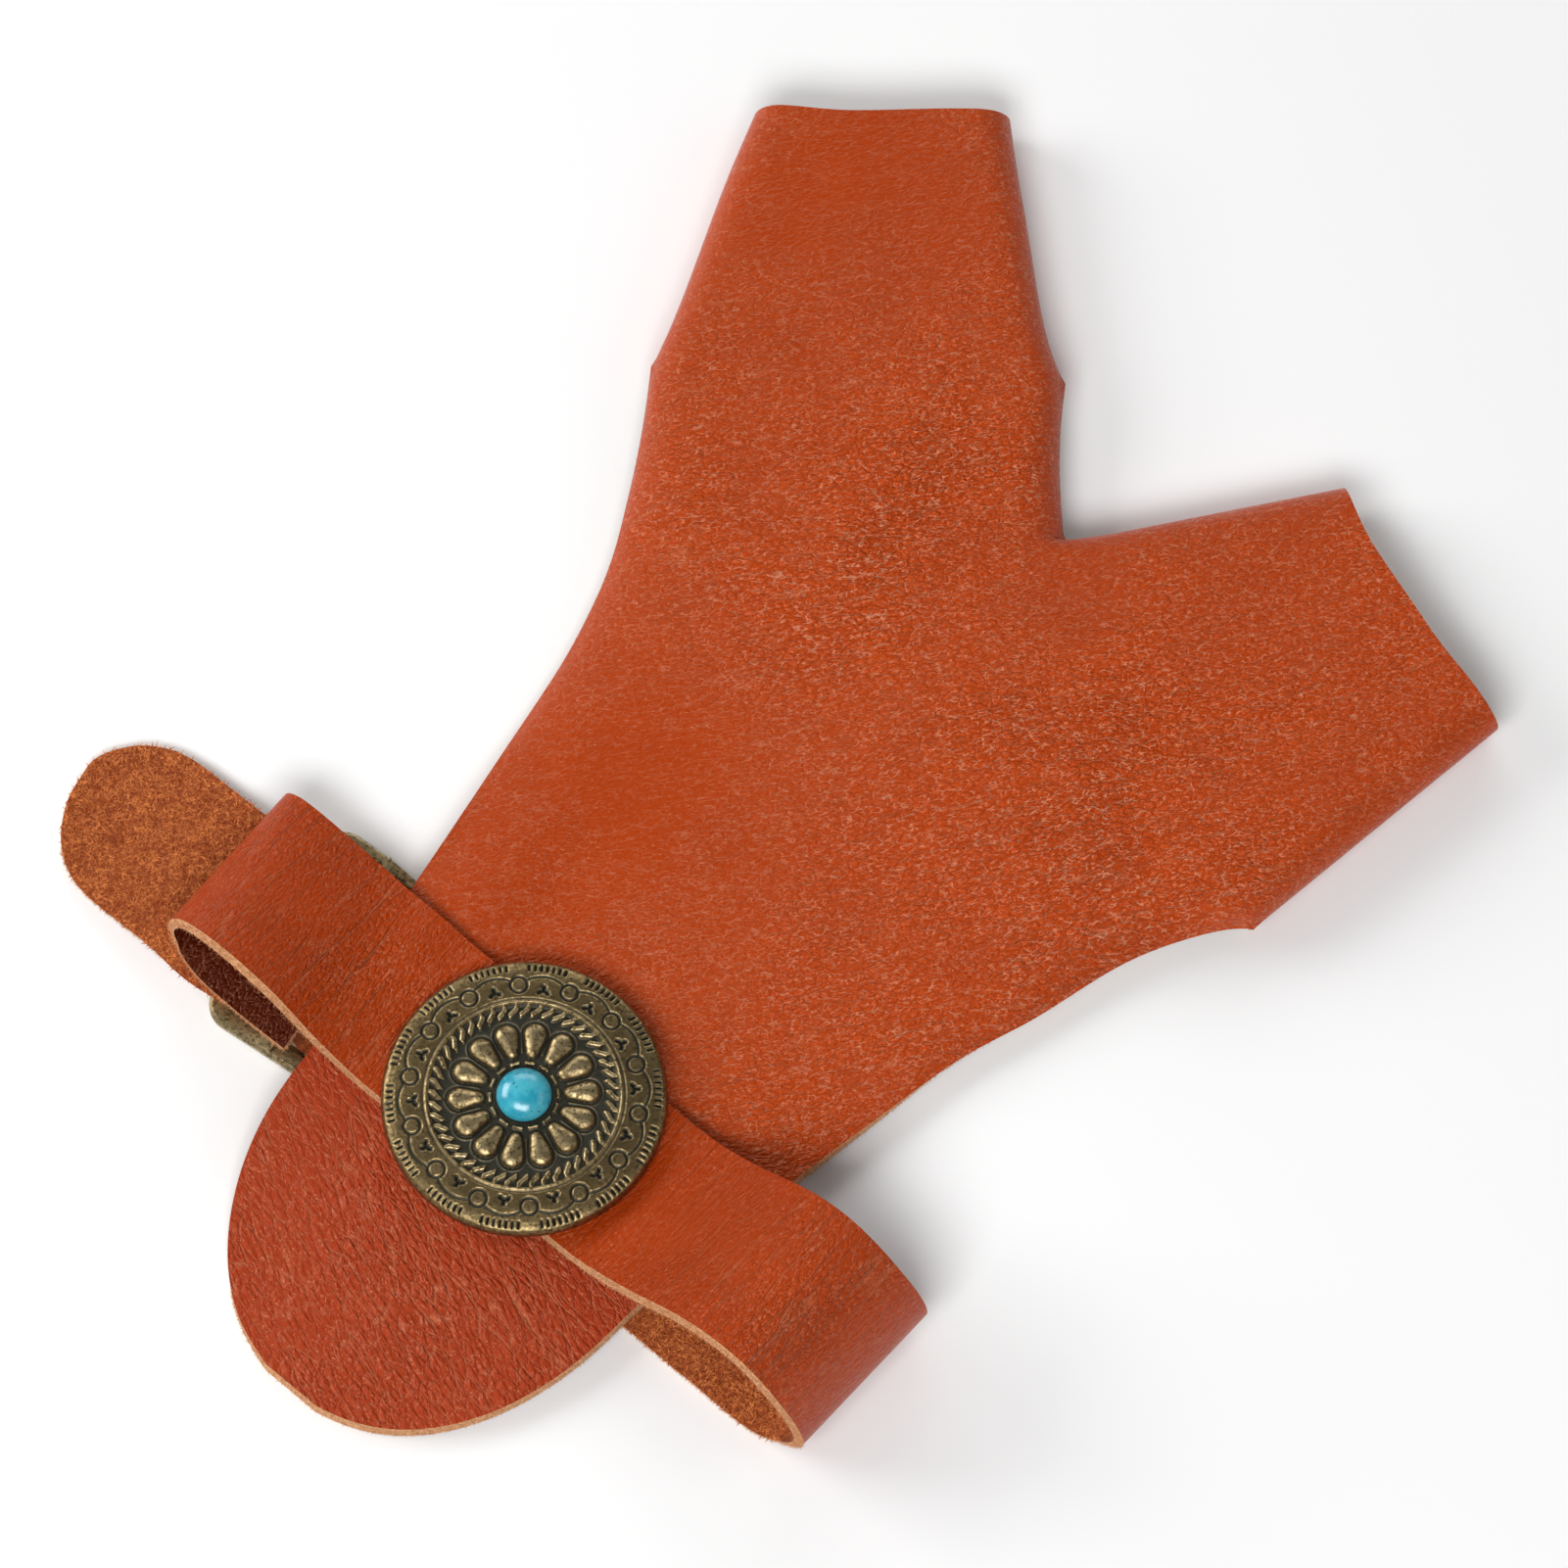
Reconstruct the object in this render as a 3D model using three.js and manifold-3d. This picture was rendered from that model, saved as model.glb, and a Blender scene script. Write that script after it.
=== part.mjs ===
// A traditional bow-hand glove of soft pebbled leather, lying flat on a table.
// Millimetres, +Z up. The index sleeve points along +Y, the thumb sleeve towards +X.
// Every piece is placed from the middle of the concho, and the whole glove is moved at the end so
// that the origin is at the middle of its footprint, on the table.

import * as THREE from 'three';
import { mergeVertices } from 'three/addons/utils/BufferGeometryUtils.js';
import Module from 'manifold-3d';

const wasm = await Module();
wasm.setup();

// Leather
const gloveLeather = 1.4;
const strapLeather = 1.3;
const chapeLeather = 2.0;
const clearance = 0.3;
const plySlack = 0.75;
const bendSlack = 0.3;

// Index sleeve, as it lies folded flat
const indexReach = 142.1;
const indexShift = 47.6;
const indexMouthWidth = 35.8;
const indexRootWidth = 56.6;
const indexSleeveLength = 38.2;
const indexHeight = 9.0;

// Thumb sleeve
const thumbReach = 119.7;
const thumbRise = 70.0;
const thumbMouthWidth = 40.2;
const thumbRootWidth = 59.4;
const thumbSleeveLength = 37.8;
const thumbHeight = 9.0;
const thumbDirection = 27.9;
const thumbMouthTurn = 30;
const thumbRootTurn = 19.6;
const webWidth = 5.0;
const cornerWidth = 2.8;

// Panel and tail
const panelWidthAtStrap = 64.5;
const panelRise = 6.6;
const tailWidth = 55;
const tailLength = 48.2;
const seamGap = 0.4;

// Wrist strap
const strapWidth = 23.8;
const strapDirection = -40.3;
const leftReach = 51.3;
const rightReach = 57.9;
const leftArch = 16.0;
const rightArch = 22.4;
const tabReach = 76.4;
const tabWidth = 23.2;

// Buckle
const buckleLength = 20.6;
const buckleWidth = 32.0;
const bucklePlace = 33.9;
const barWidth = 2.8;
const barHeight = 2.0;
const middleBarHeight = 1.4;
const buckleSkew = 6.5;

// Concho, stone and post
const conchoDiameter = 37.8;
const conchoThickness = 3.0;
const innerRingDiameter = 25.6;
const petalCount = 14;
const petalLength = 6.2;
const petalWidth = 2.7;
const stoneDiameter = 7.3;
const stoneHeight = 2.3;
const bezelWall = 0.7;
const postDiameter = 3.6;
const postHeadDiameter = 10;
const postHeadHeight = 0.8;

const GLOVE_COLOUR = 0xb5451f;
const STRAP_COLOUR = 0xb8461c;
const BRASS_COLOUR = 0x8c7a4e;
const STONE_COLOUR = 0x2fa9c8;

// Heights of the plies that lie over each other under the concho and at the buckle
const strapOnTable = strapLeather / 2;
const strapOverBar = barHeight + clearance + strapLeather / 2;
const middleBarFloor = strapLeather + clearance;
const middleBarTop = middleBarFloor + middleBarHeight;
const chapeOverMiddle = middleBarTop + clearance + chapeLeather / 2;
const chapeOverStrap = strapOverBar + strapLeather / 2 + clearance + chapeLeather / 2;
const postHeadFloor = strapLeather + clearance;
const tailAtPost = postHeadFloor + postHeadHeight + clearance + gloveLeather / 2;
const tailOverBar = strapOverBar + strapLeather / 2 + clearance + bendSlack + gloveLeather / 2;
const tailOverStrap = strapLeather + clearance + gloveLeather / 2;
const plyStep = gloveLeather / 2 + clearance + strapLeather / 2;
const strapAtPost = tailAtPost + plyStep + plySlack;
const strapTopOverBar = tailOverBar + plyStep + bendSlack;
const conchoBack = strapAtPost + strapLeather / 2 + clearance;
const tailOnTable = gloveLeather / 2;

const radians = THREE.MathUtils.degToRad;
const mix = THREE.MathUtils.lerp;

// Directions along and across the strap, in the table plane
const alongStrap = new THREE.Vector2(Math.cos(radians(strapDirection)), Math.sin(radians(strapDirection)));
const acrossStrap = new THREE.Vector2(-alongStrap.y, alongStrap.x);

function strapPoint(along, across) {
  return new THREE.Vector2(
    along * alongStrap.x + across * acrossStrap.x,
    along * alongStrap.y + across * acrossStrap.y,
  );
}

function turned(x, y, degrees) {
  return new THREE.Vector2(x, y).rotateAround(new THREE.Vector2(0, 0), radians(degrees));
}

// A smooth curve through a few points of the table plane, as evenly spaced points
function spaced(points, intervals) {
  const curve = new THREE.CatmullRomCurve3(
    points.map((p) => new THREE.Vector3(p.x, p.y, 0)),
    false,
    'centripetal',
  );
  return curve.getSpacedPoints(intervals).map((p) => new THREE.Vector2(p.x, p.y));
}

// An edge from start to end. Each bow row is [share of the chord, offset to the left as a share of it].
function bowed(start, end, bows) {
  const chord = end.clone().sub(start);
  const left = new THREE.Vector2(-chord.y, chord.x);
  const inner = bows.map(([share, bow]) => start.clone()
    .addScaledVector(chord, share)
    .addScaledVector(left, bow));
  return [start, ...inner, end];
}

// Reads a table whose first column is a place, smoothly between its rows
function readTable(rows, place, column) {
  if (place <= rows[0][0]) {
    return rows[0][column];
  }
  for (let i = 1; i < rows.length; i += 1) {
    if (place <= rows[i][0]) {
      const share = (place - rows[i - 1][0]) / (rows[i][0] - rows[i - 1][0]);
      const eased = share * share * (3 - 2 * share);
      return mix(rows[i - 1][column], rows[i][column], eased);
    }
  }
  return rows[rows.length - 1][column];
}

// A sheet of leather as a net of quads through the middle of its thickness
class Sheet {
  constructor() {
    this.points = [];
    this.quads = [];
  }

  addRow(points) {
    return points.map((point) => this.points.push(point) - 1);
  }

  // Joins two rows of the net. The face looks up when the rows run left to right and near to far.
  join(nearRow, farRow) {
    for (let i = 0; i + 1 < nearRow.length; i += 1) {
      this.quads.push([nearRow[i], nearRow[i + 1], farRow[i + 1], farRow[i]]);
    }
  }

  normals() {
    const normals = this.points.map(() => new THREE.Vector3());
    for (const [a, b, c, d] of this.quads) {
      const one = this.points[c].clone().sub(this.points[a]);
      const two = this.points[d].clone().sub(this.points[b]);
      const normal = one.cross(two);
      [a, b, c, d].forEach((i) => normals[i].add(normal));
    }
    return normals.map((normal) => normal.normalize());
  }

  // The closed solid that lies half a thickness to each side of the net
  thicken(thicknessAt) {
    const normals = this.normals();
    const count = this.points.length;
    const positions = [];
    for (const side of [0.5, -0.5]) {
      this.points.forEach((point, i) => {
        const moved = point.clone().addScaledVector(normals[i], side * thicknessAt(i));
        positions.push(moved.x, moved.y, moved.z);
      });
    }
    const triangles = [];
    const edges = new Map();
    for (const quad of this.quads) {
      const [a, b, c, d] = quad;
      triangles.push(a, b, c, a, c, d);
      triangles.push(count + a, count + c, count + b, count + a, count + d, count + c);
      quad.forEach((from, i) => {
        const to = quad[(i + 1) % quad.length];
        if (!edges.delete(`${to},${from}`)) {
          edges.set(`${from},${to}`, [from, to]);
        }
      });
    }
    for (const [from, to] of edges.values()) {
      triangles.push(to, from, count + from, to, count + from, count + to);
    }
    const geometry = new THREE.BufferGeometry();
    geometry.setAttribute('position', new THREE.Float32BufferAttribute(positions, 3));
    geometry.setIndex(triangles);
    return geometry;
  }
}

// Joins and cuts of closed solids
function solidOf(geometry) {
  const bare = geometry.clone();
  bare.deleteAttribute('normal');
  bare.deleteAttribute('uv');
  const merged = mergeVertices(bare, 0.0001);
  const mesh = new wasm.Mesh({
    numProp: 3,
    vertProperties: Float32Array.from(merged.attributes.position.array),
    triVerts: Uint32Array.from(merged.index.array),
  });
  return new wasm.Manifold(mesh);
}

function geometryOf(solid) {
  const mesh = solid.getMesh();
  const geometry = new THREE.BufferGeometry();
  geometry.setAttribute('position', new THREE.Float32BufferAttribute(mesh.vertProperties, 3));
  geometry.setIndex(Array.from(mesh.triVerts));
  return geometry;
}

// A round hole for the post through one ply of leather, its flats clear of the shaft
const HOLE_SIDES = 16;

function postHole(height, depth) {
  const radius = (postDiameter / 2 + clearance) / Math.cos(Math.PI / HOLE_SIDES);
  const cylinder = new THREE.CylinderGeometry(radius, radius, depth, HOLE_SIDES);
  cylinder.rotateX(Math.PI / 2);
  cylinder.translate(0, 0, height);
  return solidOf(cylinder);
}

// Glove body. A section is a row of points across a sleeve or the panel: a rolled edge in quarter
// arcs of ROLL_STEPS, a nearly flat middle and another rolled edge.
const ROLL_STEPS = 3;
const FLAT_STEPS = 12;
const FLAP_STEPS = 4;
const COLUMNS = 2 * ROLL_STEPS + FLAT_STEPS;

function rollAngle(step) {
  return (step / ROLL_STEPS) * (Math.PI / 2);
}

// Shares of a section at which its columns stand, and how far each has risen above its edge
function sectionColumns(width, rollLeft, rollRight) {
  const columns = [];
  for (let i = 0; i <= ROLL_STEPS; i += 1) {
    const share = (rollLeft / width) * (1 - Math.cos(rollAngle(i)));
    columns.push({ share, left: Math.sin(rollAngle(i)), right: 1 });
  }
  const first = rollLeft / width;
  const last = 1 - rollRight / width;
  for (let i = 1; i < FLAT_STEPS; i += 1) {
    columns.push({ share: mix(first, last, i / FLAT_STEPS), left: 1, right: 1 });
  }
  for (let i = ROLL_STEPS; i >= 0; i -= 1) {
    const share = 1 - (rollRight / width) * (1 - Math.cos(rollAngle(i)));
    columns.push({ share, left: 1, right: Math.sin(rollAngle(i)) });
  }
  return columns;
}

// Heights of a section: the top near its left and right edges, the edges themselves, and a crown
function sectionRow(left, right, heights) {
  const width = left.distanceTo(right);
  const rollLeft = Math.min(heights.rollLeft, width / 4);
  const rollRight = Math.min(heights.rollRight, width / 4);
  return sectionColumns(width, rollLeft, rollRight).map((column) => {
    const eased = column.share * column.share * (3 - 2 * column.share);
    const top = mix(heights.topLeft, heights.topRight, eased)
      + heights.crown * Math.sin(Math.PI * column.share);
    const fallLeft = (heights.topLeft - heights.edgeLeft) * (1 - column.left);
    const fallRight = (heights.topRight - heights.edgeRight) * (1 - column.right);
    const place = left.clone().lerp(right, column.share);
    return new THREE.Vector3(place.x, place.y, top - fallLeft - fallRight);
  });
}

// The flap that turns under from one fold of a sleeve to the seam in the middle of its underside
function flapRow(fold, seam, height) {
  const roll = (height - gloveLeather) / 2;
  const middle = fold.clone().lerp(seam, 0.5);
  const inward = middle.sub(fold).normalize();
  const points = [];
  for (let i = 1; i <= ROLL_STEPS; i += 1) {
    const run = roll * (1 - Math.cos(rollAngle(i)));
    const place = fold.clone().addScaledVector(inward, run);
    points.push(new THREE.Vector3(place.x, place.y, height / 2 - roll * Math.sin(rollAngle(i))));
  }
  const start = fold.clone().addScaledVector(inward, roll);
  for (let i = 1; i <= FLAP_STEPS; i += 1) {
    const place = start.clone().lerp(seam, i / FLAP_STEPS);
    points.push(new THREE.Vector3(place.x, place.y, height / 2 - roll));
  }
  return points;
}

const fromRoll = (height) => (height - gloveLeather) / 2;

// Moves a section's points along the sleeve by its mouth's wave, which dies out towards the root
function waved(points, wave, width, direction, share) {
  return points.map((point, i) => {
    const reach = readTable(wave, i / (points.length - 1), 1) * width * share * share;
    return new THREE.Vector3(point.x + reach * direction.x, point.y + reach * direction.y, point.z);
  });
}

// Ends of the sections at the mouths and roots of the sleeves. The net runs through the middle of
// the leather, so its folds stand half a ply inside the widths.
const foldInside = (width) => (width - gloveLeather) / 2;
const indexMouthLeft = new THREE.Vector2(indexShift - foldInside(indexMouthWidth), indexReach);
const indexMouthRight = new THREE.Vector2(indexShift + foldInside(indexMouthWidth), indexReach);
const INDEX_LEAN = -0.09;
const indexRootMiddle = new THREE.Vector2(
  indexShift + INDEX_LEAN * indexSleeveLength,
  indexReach - indexSleeveLength,
);
const ROOT_SLANT = -2.6;
const indexRootHalf = turned(foldInside(indexRootWidth), 0, ROOT_SLANT);
const indexRootLeft = indexRootMiddle.clone().sub(indexRootHalf);
const indexRootRight = indexRootMiddle.clone().add(indexRootHalf);

const thumbMouthMiddle = new THREE.Vector2(thumbReach, thumbRise);
const thumbRootMiddle = thumbMouthMiddle.clone().sub(turned(thumbSleeveLength, 0, thumbDirection));
const thumbMouthHalf = turned(0, foldInside(thumbMouthWidth), thumbMouthTurn);
const thumbRootHalf = turned(0, foldInside(thumbRootWidth), thumbRootTurn);
const WEB_TURN = 6;
const thumbMouthUpper = thumbMouthMiddle.clone().add(thumbMouthHalf);
const thumbMouthLower = thumbMouthMiddle.clone().sub(thumbMouthHalf);
const thumbRootUpper = thumbRootMiddle.clone().add(thumbRootHalf);
const thumbRootLower = thumbRootMiddle.clone().sub(thumbRootHalf);
const webNotch = thumbRootUpper.clone().sub(turned(webWidth, 0, WEB_TURN));
const panelCorner = thumbRootLower.clone().sub(turned(cornerWidth, 0, -WEB_TURN));

// Where the panel meets the strap, and the first row of the tail
const PANEL_ACROSS_LEFT = 0.54;
const PANEL_ACROSS_RIGHT = 0.67;
const PANEL_CENTRE = 0.018;
const TAIL_START = -0.46;
const TAIL_CENTRE = 0.02;
const panelAtStrapLeft = strapPoint(
  (PANEL_CENTRE - 0.5) * panelWidthAtStrap,
  PANEL_ACROSS_LEFT * strapWidth,
);
const panelAtStrapRight = strapPoint(
  (PANEL_CENTRE + 0.5) * panelWidthAtStrap,
  PANEL_ACROSS_RIGHT * strapWidth,
);
const tailStartAcross = TAIL_START * strapWidth;
const tailStartLeft = strapPoint((TAIL_CENTRE - 0.5) * tailWidth, tailStartAcross);
const tailStartRight = strapPoint((TAIL_CENTRE + 0.5) * tailWidth, tailStartAcross);

// Bows of the edges: [share of the chord, offset to the left as a share of the chord]
const indexLeftBows = [[0.25, -0.006], [0.75, 0.008], [0.94, 0.006]];
const indexRightBows = [[0.2, -0.012], [0.4, -0.016], [0.63, -0.026], [0.85, -0.028], [0.93, -0.018]];
const leftCutBows = [
  [0.06, 0.018], [0.18, 0.047], [0.34, 0.073], [0.44, 0.075], [0.54, 0.068],
  [0.66, 0.05], [0.77, 0.034], [0.9, 0.014],
];
const webCutBows = [
  [0.12, -0.022], [0.29, -0.033], [0.47, -0.039], [0.65, -0.036], [0.82, -0.024], [0.94, -0.006],
];
const lowerCutBows = [
  [0.05, -0.016], [0.12, -0.042], [0.19, -0.054], [0.27, -0.056], [0.4, -0.044],
  [0.5, -0.046], [0.6, -0.056], [0.72, -0.034], [0.86, -0.018],
];

// Waves of the cut mouths: [share of the width from the left or upper fold, reach past the straight
// line as a share of the width]
const indexMouthWave = [[0, 0.008], [0.1, 0.014], [0.4, -0.012], [0.75, -0.004], [1, -0.008]];
const thumbMouthWave = [[0, -0.004], [0.3, -0.044], [0.6, -0.036], [0.85, -0.012], [1, 0]];

// Rows of net in each stretch of the glove, from the index mouth to the tail
const SLEEVE_ROWS = 8;
const WEB_ROWS = 4;
const LOWER_ROWS = 9;
const CROSSING_ROWS = 6;
const TAIL_ROWS = 10;
const CUT_STEPS = 200;

// Shares of the left cut edge that belong to the web, the thumb root and the lower panel
const LEFT_SHARES = [0.27, 0.44, 0.29];

// Heights along the panel, as shares of its rise: [place, top left, top right, edge left, edge right,
// crown, left roll, right roll], the rolls as shares of the sleeve's own roll
const panelHeights = [
  [0.0, 1.15, 1.15, 0.64, 0.64, 0.0, 1.0, 1.0],
  [0.12, 1.05, 1.1, 0.52, 0.6, 0.06, 1.8, 1.4],
  [0.2, 0.96, 1.16, 0.42, 0.66, 0.1, 2.6, 1.6],
  [0.32, 0.9, 1.25, 0.36, 0.9, 0.1, 3.2, 2.4],
  [0.5, 0.8, 1.25, 0.3, 0.9, 0.06, 3.4, 2.6],
  [0.65, 0.74, 1.1, 0.26, 0.62, 0.0, 3.2, 2.8],
  [0.8, 0.66, 0.7, 0.3, 0.3, 0.04, 3.0, 3.2],
  [1.0, 0.56, 0.52, 0.4, 0.34, 0.0, 3.0, 3.2],
];

function panelSection(place) {
  const [topLeft, topRight, edgeLeft, edgeRight, crown] = [1, 2, 3, 4, 5]
    .map((column) => panelRise * readTable(panelHeights, place, column));
  const rollLeft = fromRoll(indexHeight) * readTable(panelHeights, place, 6);
  const rollRight = fromRoll(indexHeight) * readTable(panelHeights, place, 7);
  return { topLeft, topRight, edgeLeft, edgeRight, crown, rollLeft, rollRight };
}

function sleeveSection(height, crown) {
  const top = height - gloveLeather / 2;
  const roll = fromRoll(height);
  const edge = height / 2;
  return {
    topLeft: top,
    topRight: top,
    edgeLeft: edge,
    edgeRight: edge,
    crown,
    rollLeft: roll,
    rollRight: roll,
  };
}

// Height of the tail under the strap, by place along the strap: it lies over the post's head, and
// rises over the strap where that passes over the buckle's inner bar
const innerBarPlace = bucklePlace - buckleLength / 2 + barWidth / 2;
const crossingHeights = [
  [-innerBarPlace - 2.2 * barWidth, tailOverBar * 0.8],
  [-innerBarPlace - barWidth, tailOverBar],
  [-innerBarPlace + barWidth, tailOverBar],
  [-0.44 * conchoDiameter, tailAtPost],
  [0.5 * conchoDiameter, tailAtPost],
  [0.75 * conchoDiameter, tailOverStrap],
];

// Full effect of the strap's layers near its middle line, fading towards the panel and the tail's end
const FULL_ABOVE = 0.53 * conchoDiameter;
const FADE_ABOVE = 1.15 * conchoDiameter;
const FULL_BELOW = 0.53 * buckleWidth;
const FADE_BELOW = 0.98 * tailLength;

function settle(point) {
  const flat = new THREE.Vector2(point.x, point.y);
  const along = flat.dot(alongStrap);
  const across = flat.dot(acrossStrap);
  const crossing = readTable(crossingHeights, along, 1);
  const above = THREE.MathUtils.smoothstep(across, FULL_ABOVE, FADE_ABOVE);
  const below = THREE.MathUtils.smoothstep(-across, FULL_BELOW, FADE_BELOW);
  const free = across > 0 ? point.z : tailOnTable;
  const height = mix(crossing, free, Math.max(above, below));
  return new THREE.Vector3(point.x, point.y, height);
}

function lineBetween(start, end, intervals) {
  return Array.from({ length: intervals + 1 }, (_, i) => start.clone().lerp(end, i / intervals));
}

function makeGloveBody() {
  const sheet = new Sheet();

  // Thumb sleeve sections, from the panel out to the mouth
  const thumbRows = SLEEVE_ROWS + 1;
  const thumbSections = [];
  for (let i = 0; i <= thumbRows; i += 1) {
    const share = Math.max(0, (i - 1) / SLEEVE_ROWS);
    const upper = i === 0 ? webNotch : thumbRootUpper.clone().lerp(thumbMouthUpper, share);
    const lower = i === 0 ? panelCorner : thumbRootLower.clone().lerp(thumbMouthLower, share);
    thumbSections.push({ upper, lower, heights: sleeveSection(thumbHeight, 0) });
  }
  const thumbAxis = turned(1, 0, thumbMouthTurn);
  const thumbLines = thumbSections.map(({ upper, lower, heights }, i) => {
    const share = Math.max(0, (i - 1) / SLEEVE_ROWS);
    return waved(sectionRow(upper, lower, heights), thumbMouthWave, thumbMouthWidth, thumbAxis, share);
  });

  // Left and right ends of the main rows
  const leftCut = bowed(indexRootLeft, panelAtStrapLeft, leftCutBows);
  const leftCutFine = spaced(leftCut, CUT_STEPS);
  const pickLeft = (from, to, intervals) => Array.from(
    { length: intervals + 1 },
    (_, i) => leftCutFine[Math.round(CUT_STEPS * mix(from, to, i / intervals))],
  );
  const [webShare, rootShare] = LEFT_SHARES;
  const rootPoints = thumbLines[0].map((p) => new THREE.Vector2(p.x, p.y));
  const stretches = [
    {
      left: spaced(bowed(indexMouthLeft, indexRootLeft, indexLeftBows), SLEEVE_ROWS),
      right: spaced(bowed(indexMouthRight, indexRootRight, indexRightBows), SLEEVE_ROWS),
    },
    {
      left: pickLeft(0, webShare, WEB_ROWS),
      right: spaced(bowed(indexRootRight, webNotch, webCutBows), WEB_ROWS),
    },
    { left: pickLeft(webShare, webShare + rootShare, COLUMNS), right: rootPoints },
    {
      left: pickLeft(webShare + rootShare, 1, LOWER_ROWS),
      right: spaced(bowed(panelCorner, panelAtStrapRight, lowerCutBows), LOWER_ROWS),
    },
    {
      left: lineBetween(panelAtStrapLeft, tailStartLeft, CROSSING_ROWS),
      right: lineBetween(panelAtStrapRight, tailStartRight, CROSSING_ROWS),
    },
  ];

  const indexAxis = new THREE.Vector2(0, 1);
  const panelRows = WEB_ROWS + COLUMNS + LOWER_ROWS;
  const mainRows = [];
  let rowIndex = 0;
  stretches.forEach(({ left, right }, stretch) => {
    for (let i = stretch === 0 ? 0 : 1; i < left.length; i += 1) {
      if (stretch === 0) {
        const line = sectionRow(left[i], right[i], sleeveSection(indexHeight, 0));
        mainRows.push(waved(line, indexMouthWave, indexMouthWidth, indexAxis, 1 - i / SLEEVE_ROWS));
      } else {
        rowIndex += 1;
        const heights = panelSection(Math.min(1, rowIndex / panelRows));
        if (stretch === 2) {
          heights.edgeRight = thumbLines[0][i].z;
        }
        mainRows.push(sectionRow(left[i], right[i], heights).map(settle));
      }
    }
  });

  // Rounded tail
  const tailDepth = tailLength + tailStartAcross;
  const ROUNDNESS = 2.15;
  const LAST_ANGLE = 82;
  for (let i = 1; i <= TAIL_ROWS; i += 1) {
    const angle = radians(LAST_ANGLE * (i / TAIL_ROWS));
    const half = (tailWidth / 2) * Math.cos(angle) ** (2 / ROUNDNESS);
    const across = tailStartAcross - tailDepth * Math.sin(angle) ** (2 / ROUNDNESS);
    const left = strapPoint(TAIL_CENTRE * tailWidth - half, across);
    const right = strapPoint(TAIL_CENTRE * tailWidth + half, across);
    mainRows.push(sectionRow(left, right, panelSection(1)).map(settle));
  }

  // The rows run from the mouth towards the tail, so each is joined to the one before it
  const mainIndices = mainRows.map((row) => sheet.addRow(row));
  for (let i = 1; i < mainIndices.length; i += 1) {
    sheet.join(mainIndices[i], mainIndices[i - 1]);
  }

  // Thumb sleeve: its first row is the right ends of the main rows along the thumb root
  const rootStart = SLEEVE_ROWS + WEB_ROWS;
  const rootIndices = Array.from({ length: COLUMNS + 1 }, (_, i) => mainIndices[rootStart + i][COLUMNS]);
  const thumbIndices = [rootIndices];
  for (let i = 1; i <= thumbRows; i += 1) {
    thumbIndices.push(sheet.addRow(thumbLines[i]));
    sheet.join(thumbIndices[i - 1], thumbIndices[i]);
  }

  // Flaps on the underside, from each fold to the seam
  const addFlaps = (rows, sections, height, faceOut) => {
    for (const side of [0, 1]) {
      const folds = rows.map((row) => (side === 0 ? row[0] : row[row.length - 1]));
      const flapIndices = sections.map(({ left, right }, i) => {
        const fold = side === 0 ? left : right;
        const other = side === 0 ? right : left;
        const middle = fold.clone().lerp(other, 0.5);
        const seam = middle.clone().addScaledVector(fold.clone().sub(other).normalize(), seamGap / 2);
        return [folds[i], ...sheet.addRow(flapRow(fold, seam, height))];
      });
      for (let i = 1; i < flapIndices.length; i += 1) {
        if ((side === 0) === faceOut) {
          sheet.join(flapIndices[i - 1], flapIndices[i]);
        } else {
          sheet.join(flapIndices[i], flapIndices[i - 1]);
        }
      }
    }
  };
  const indexSections = mainRows.slice(0, SLEEVE_ROWS + 1).map((row) => ({
    left: new THREE.Vector2(row[0].x, row[0].y),
    right: new THREE.Vector2(row[COLUMNS].x, row[COLUMNS].y),
  }));
  addFlaps(mainIndices.slice(0, SLEEVE_ROWS + 1), indexSections, indexHeight, true);
  const thumbFlapSections = thumbSections.slice(1).map(({ upper, lower }) => ({ left: upper, right: lower }));
  addFlaps(thumbIndices.slice(1), thumbFlapSections, thumbHeight, false);

  const solid = solidOf(sheet.thicken(() => gloveLeather));
  return geometryOf(solid.subtract(postHole(tailAtPost, 3 * gloveLeather)));
}

// Wrist strap: rows of [place along the strap, height of the near edge, height of the far edge,
// sideways shift as a share of the width, thickness], from the doubled end to the tab
const STRAP_STEPS_ACROSS = 3;
const STRAP_STEPS_ALONG = 104;
const TAB_SHIFT = -0.13;
const RETURN_SHIFT = -0.062;
const BUCKLE_SHIFT = -0.02;
const FOLD_SKEW = 0.008;

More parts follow.
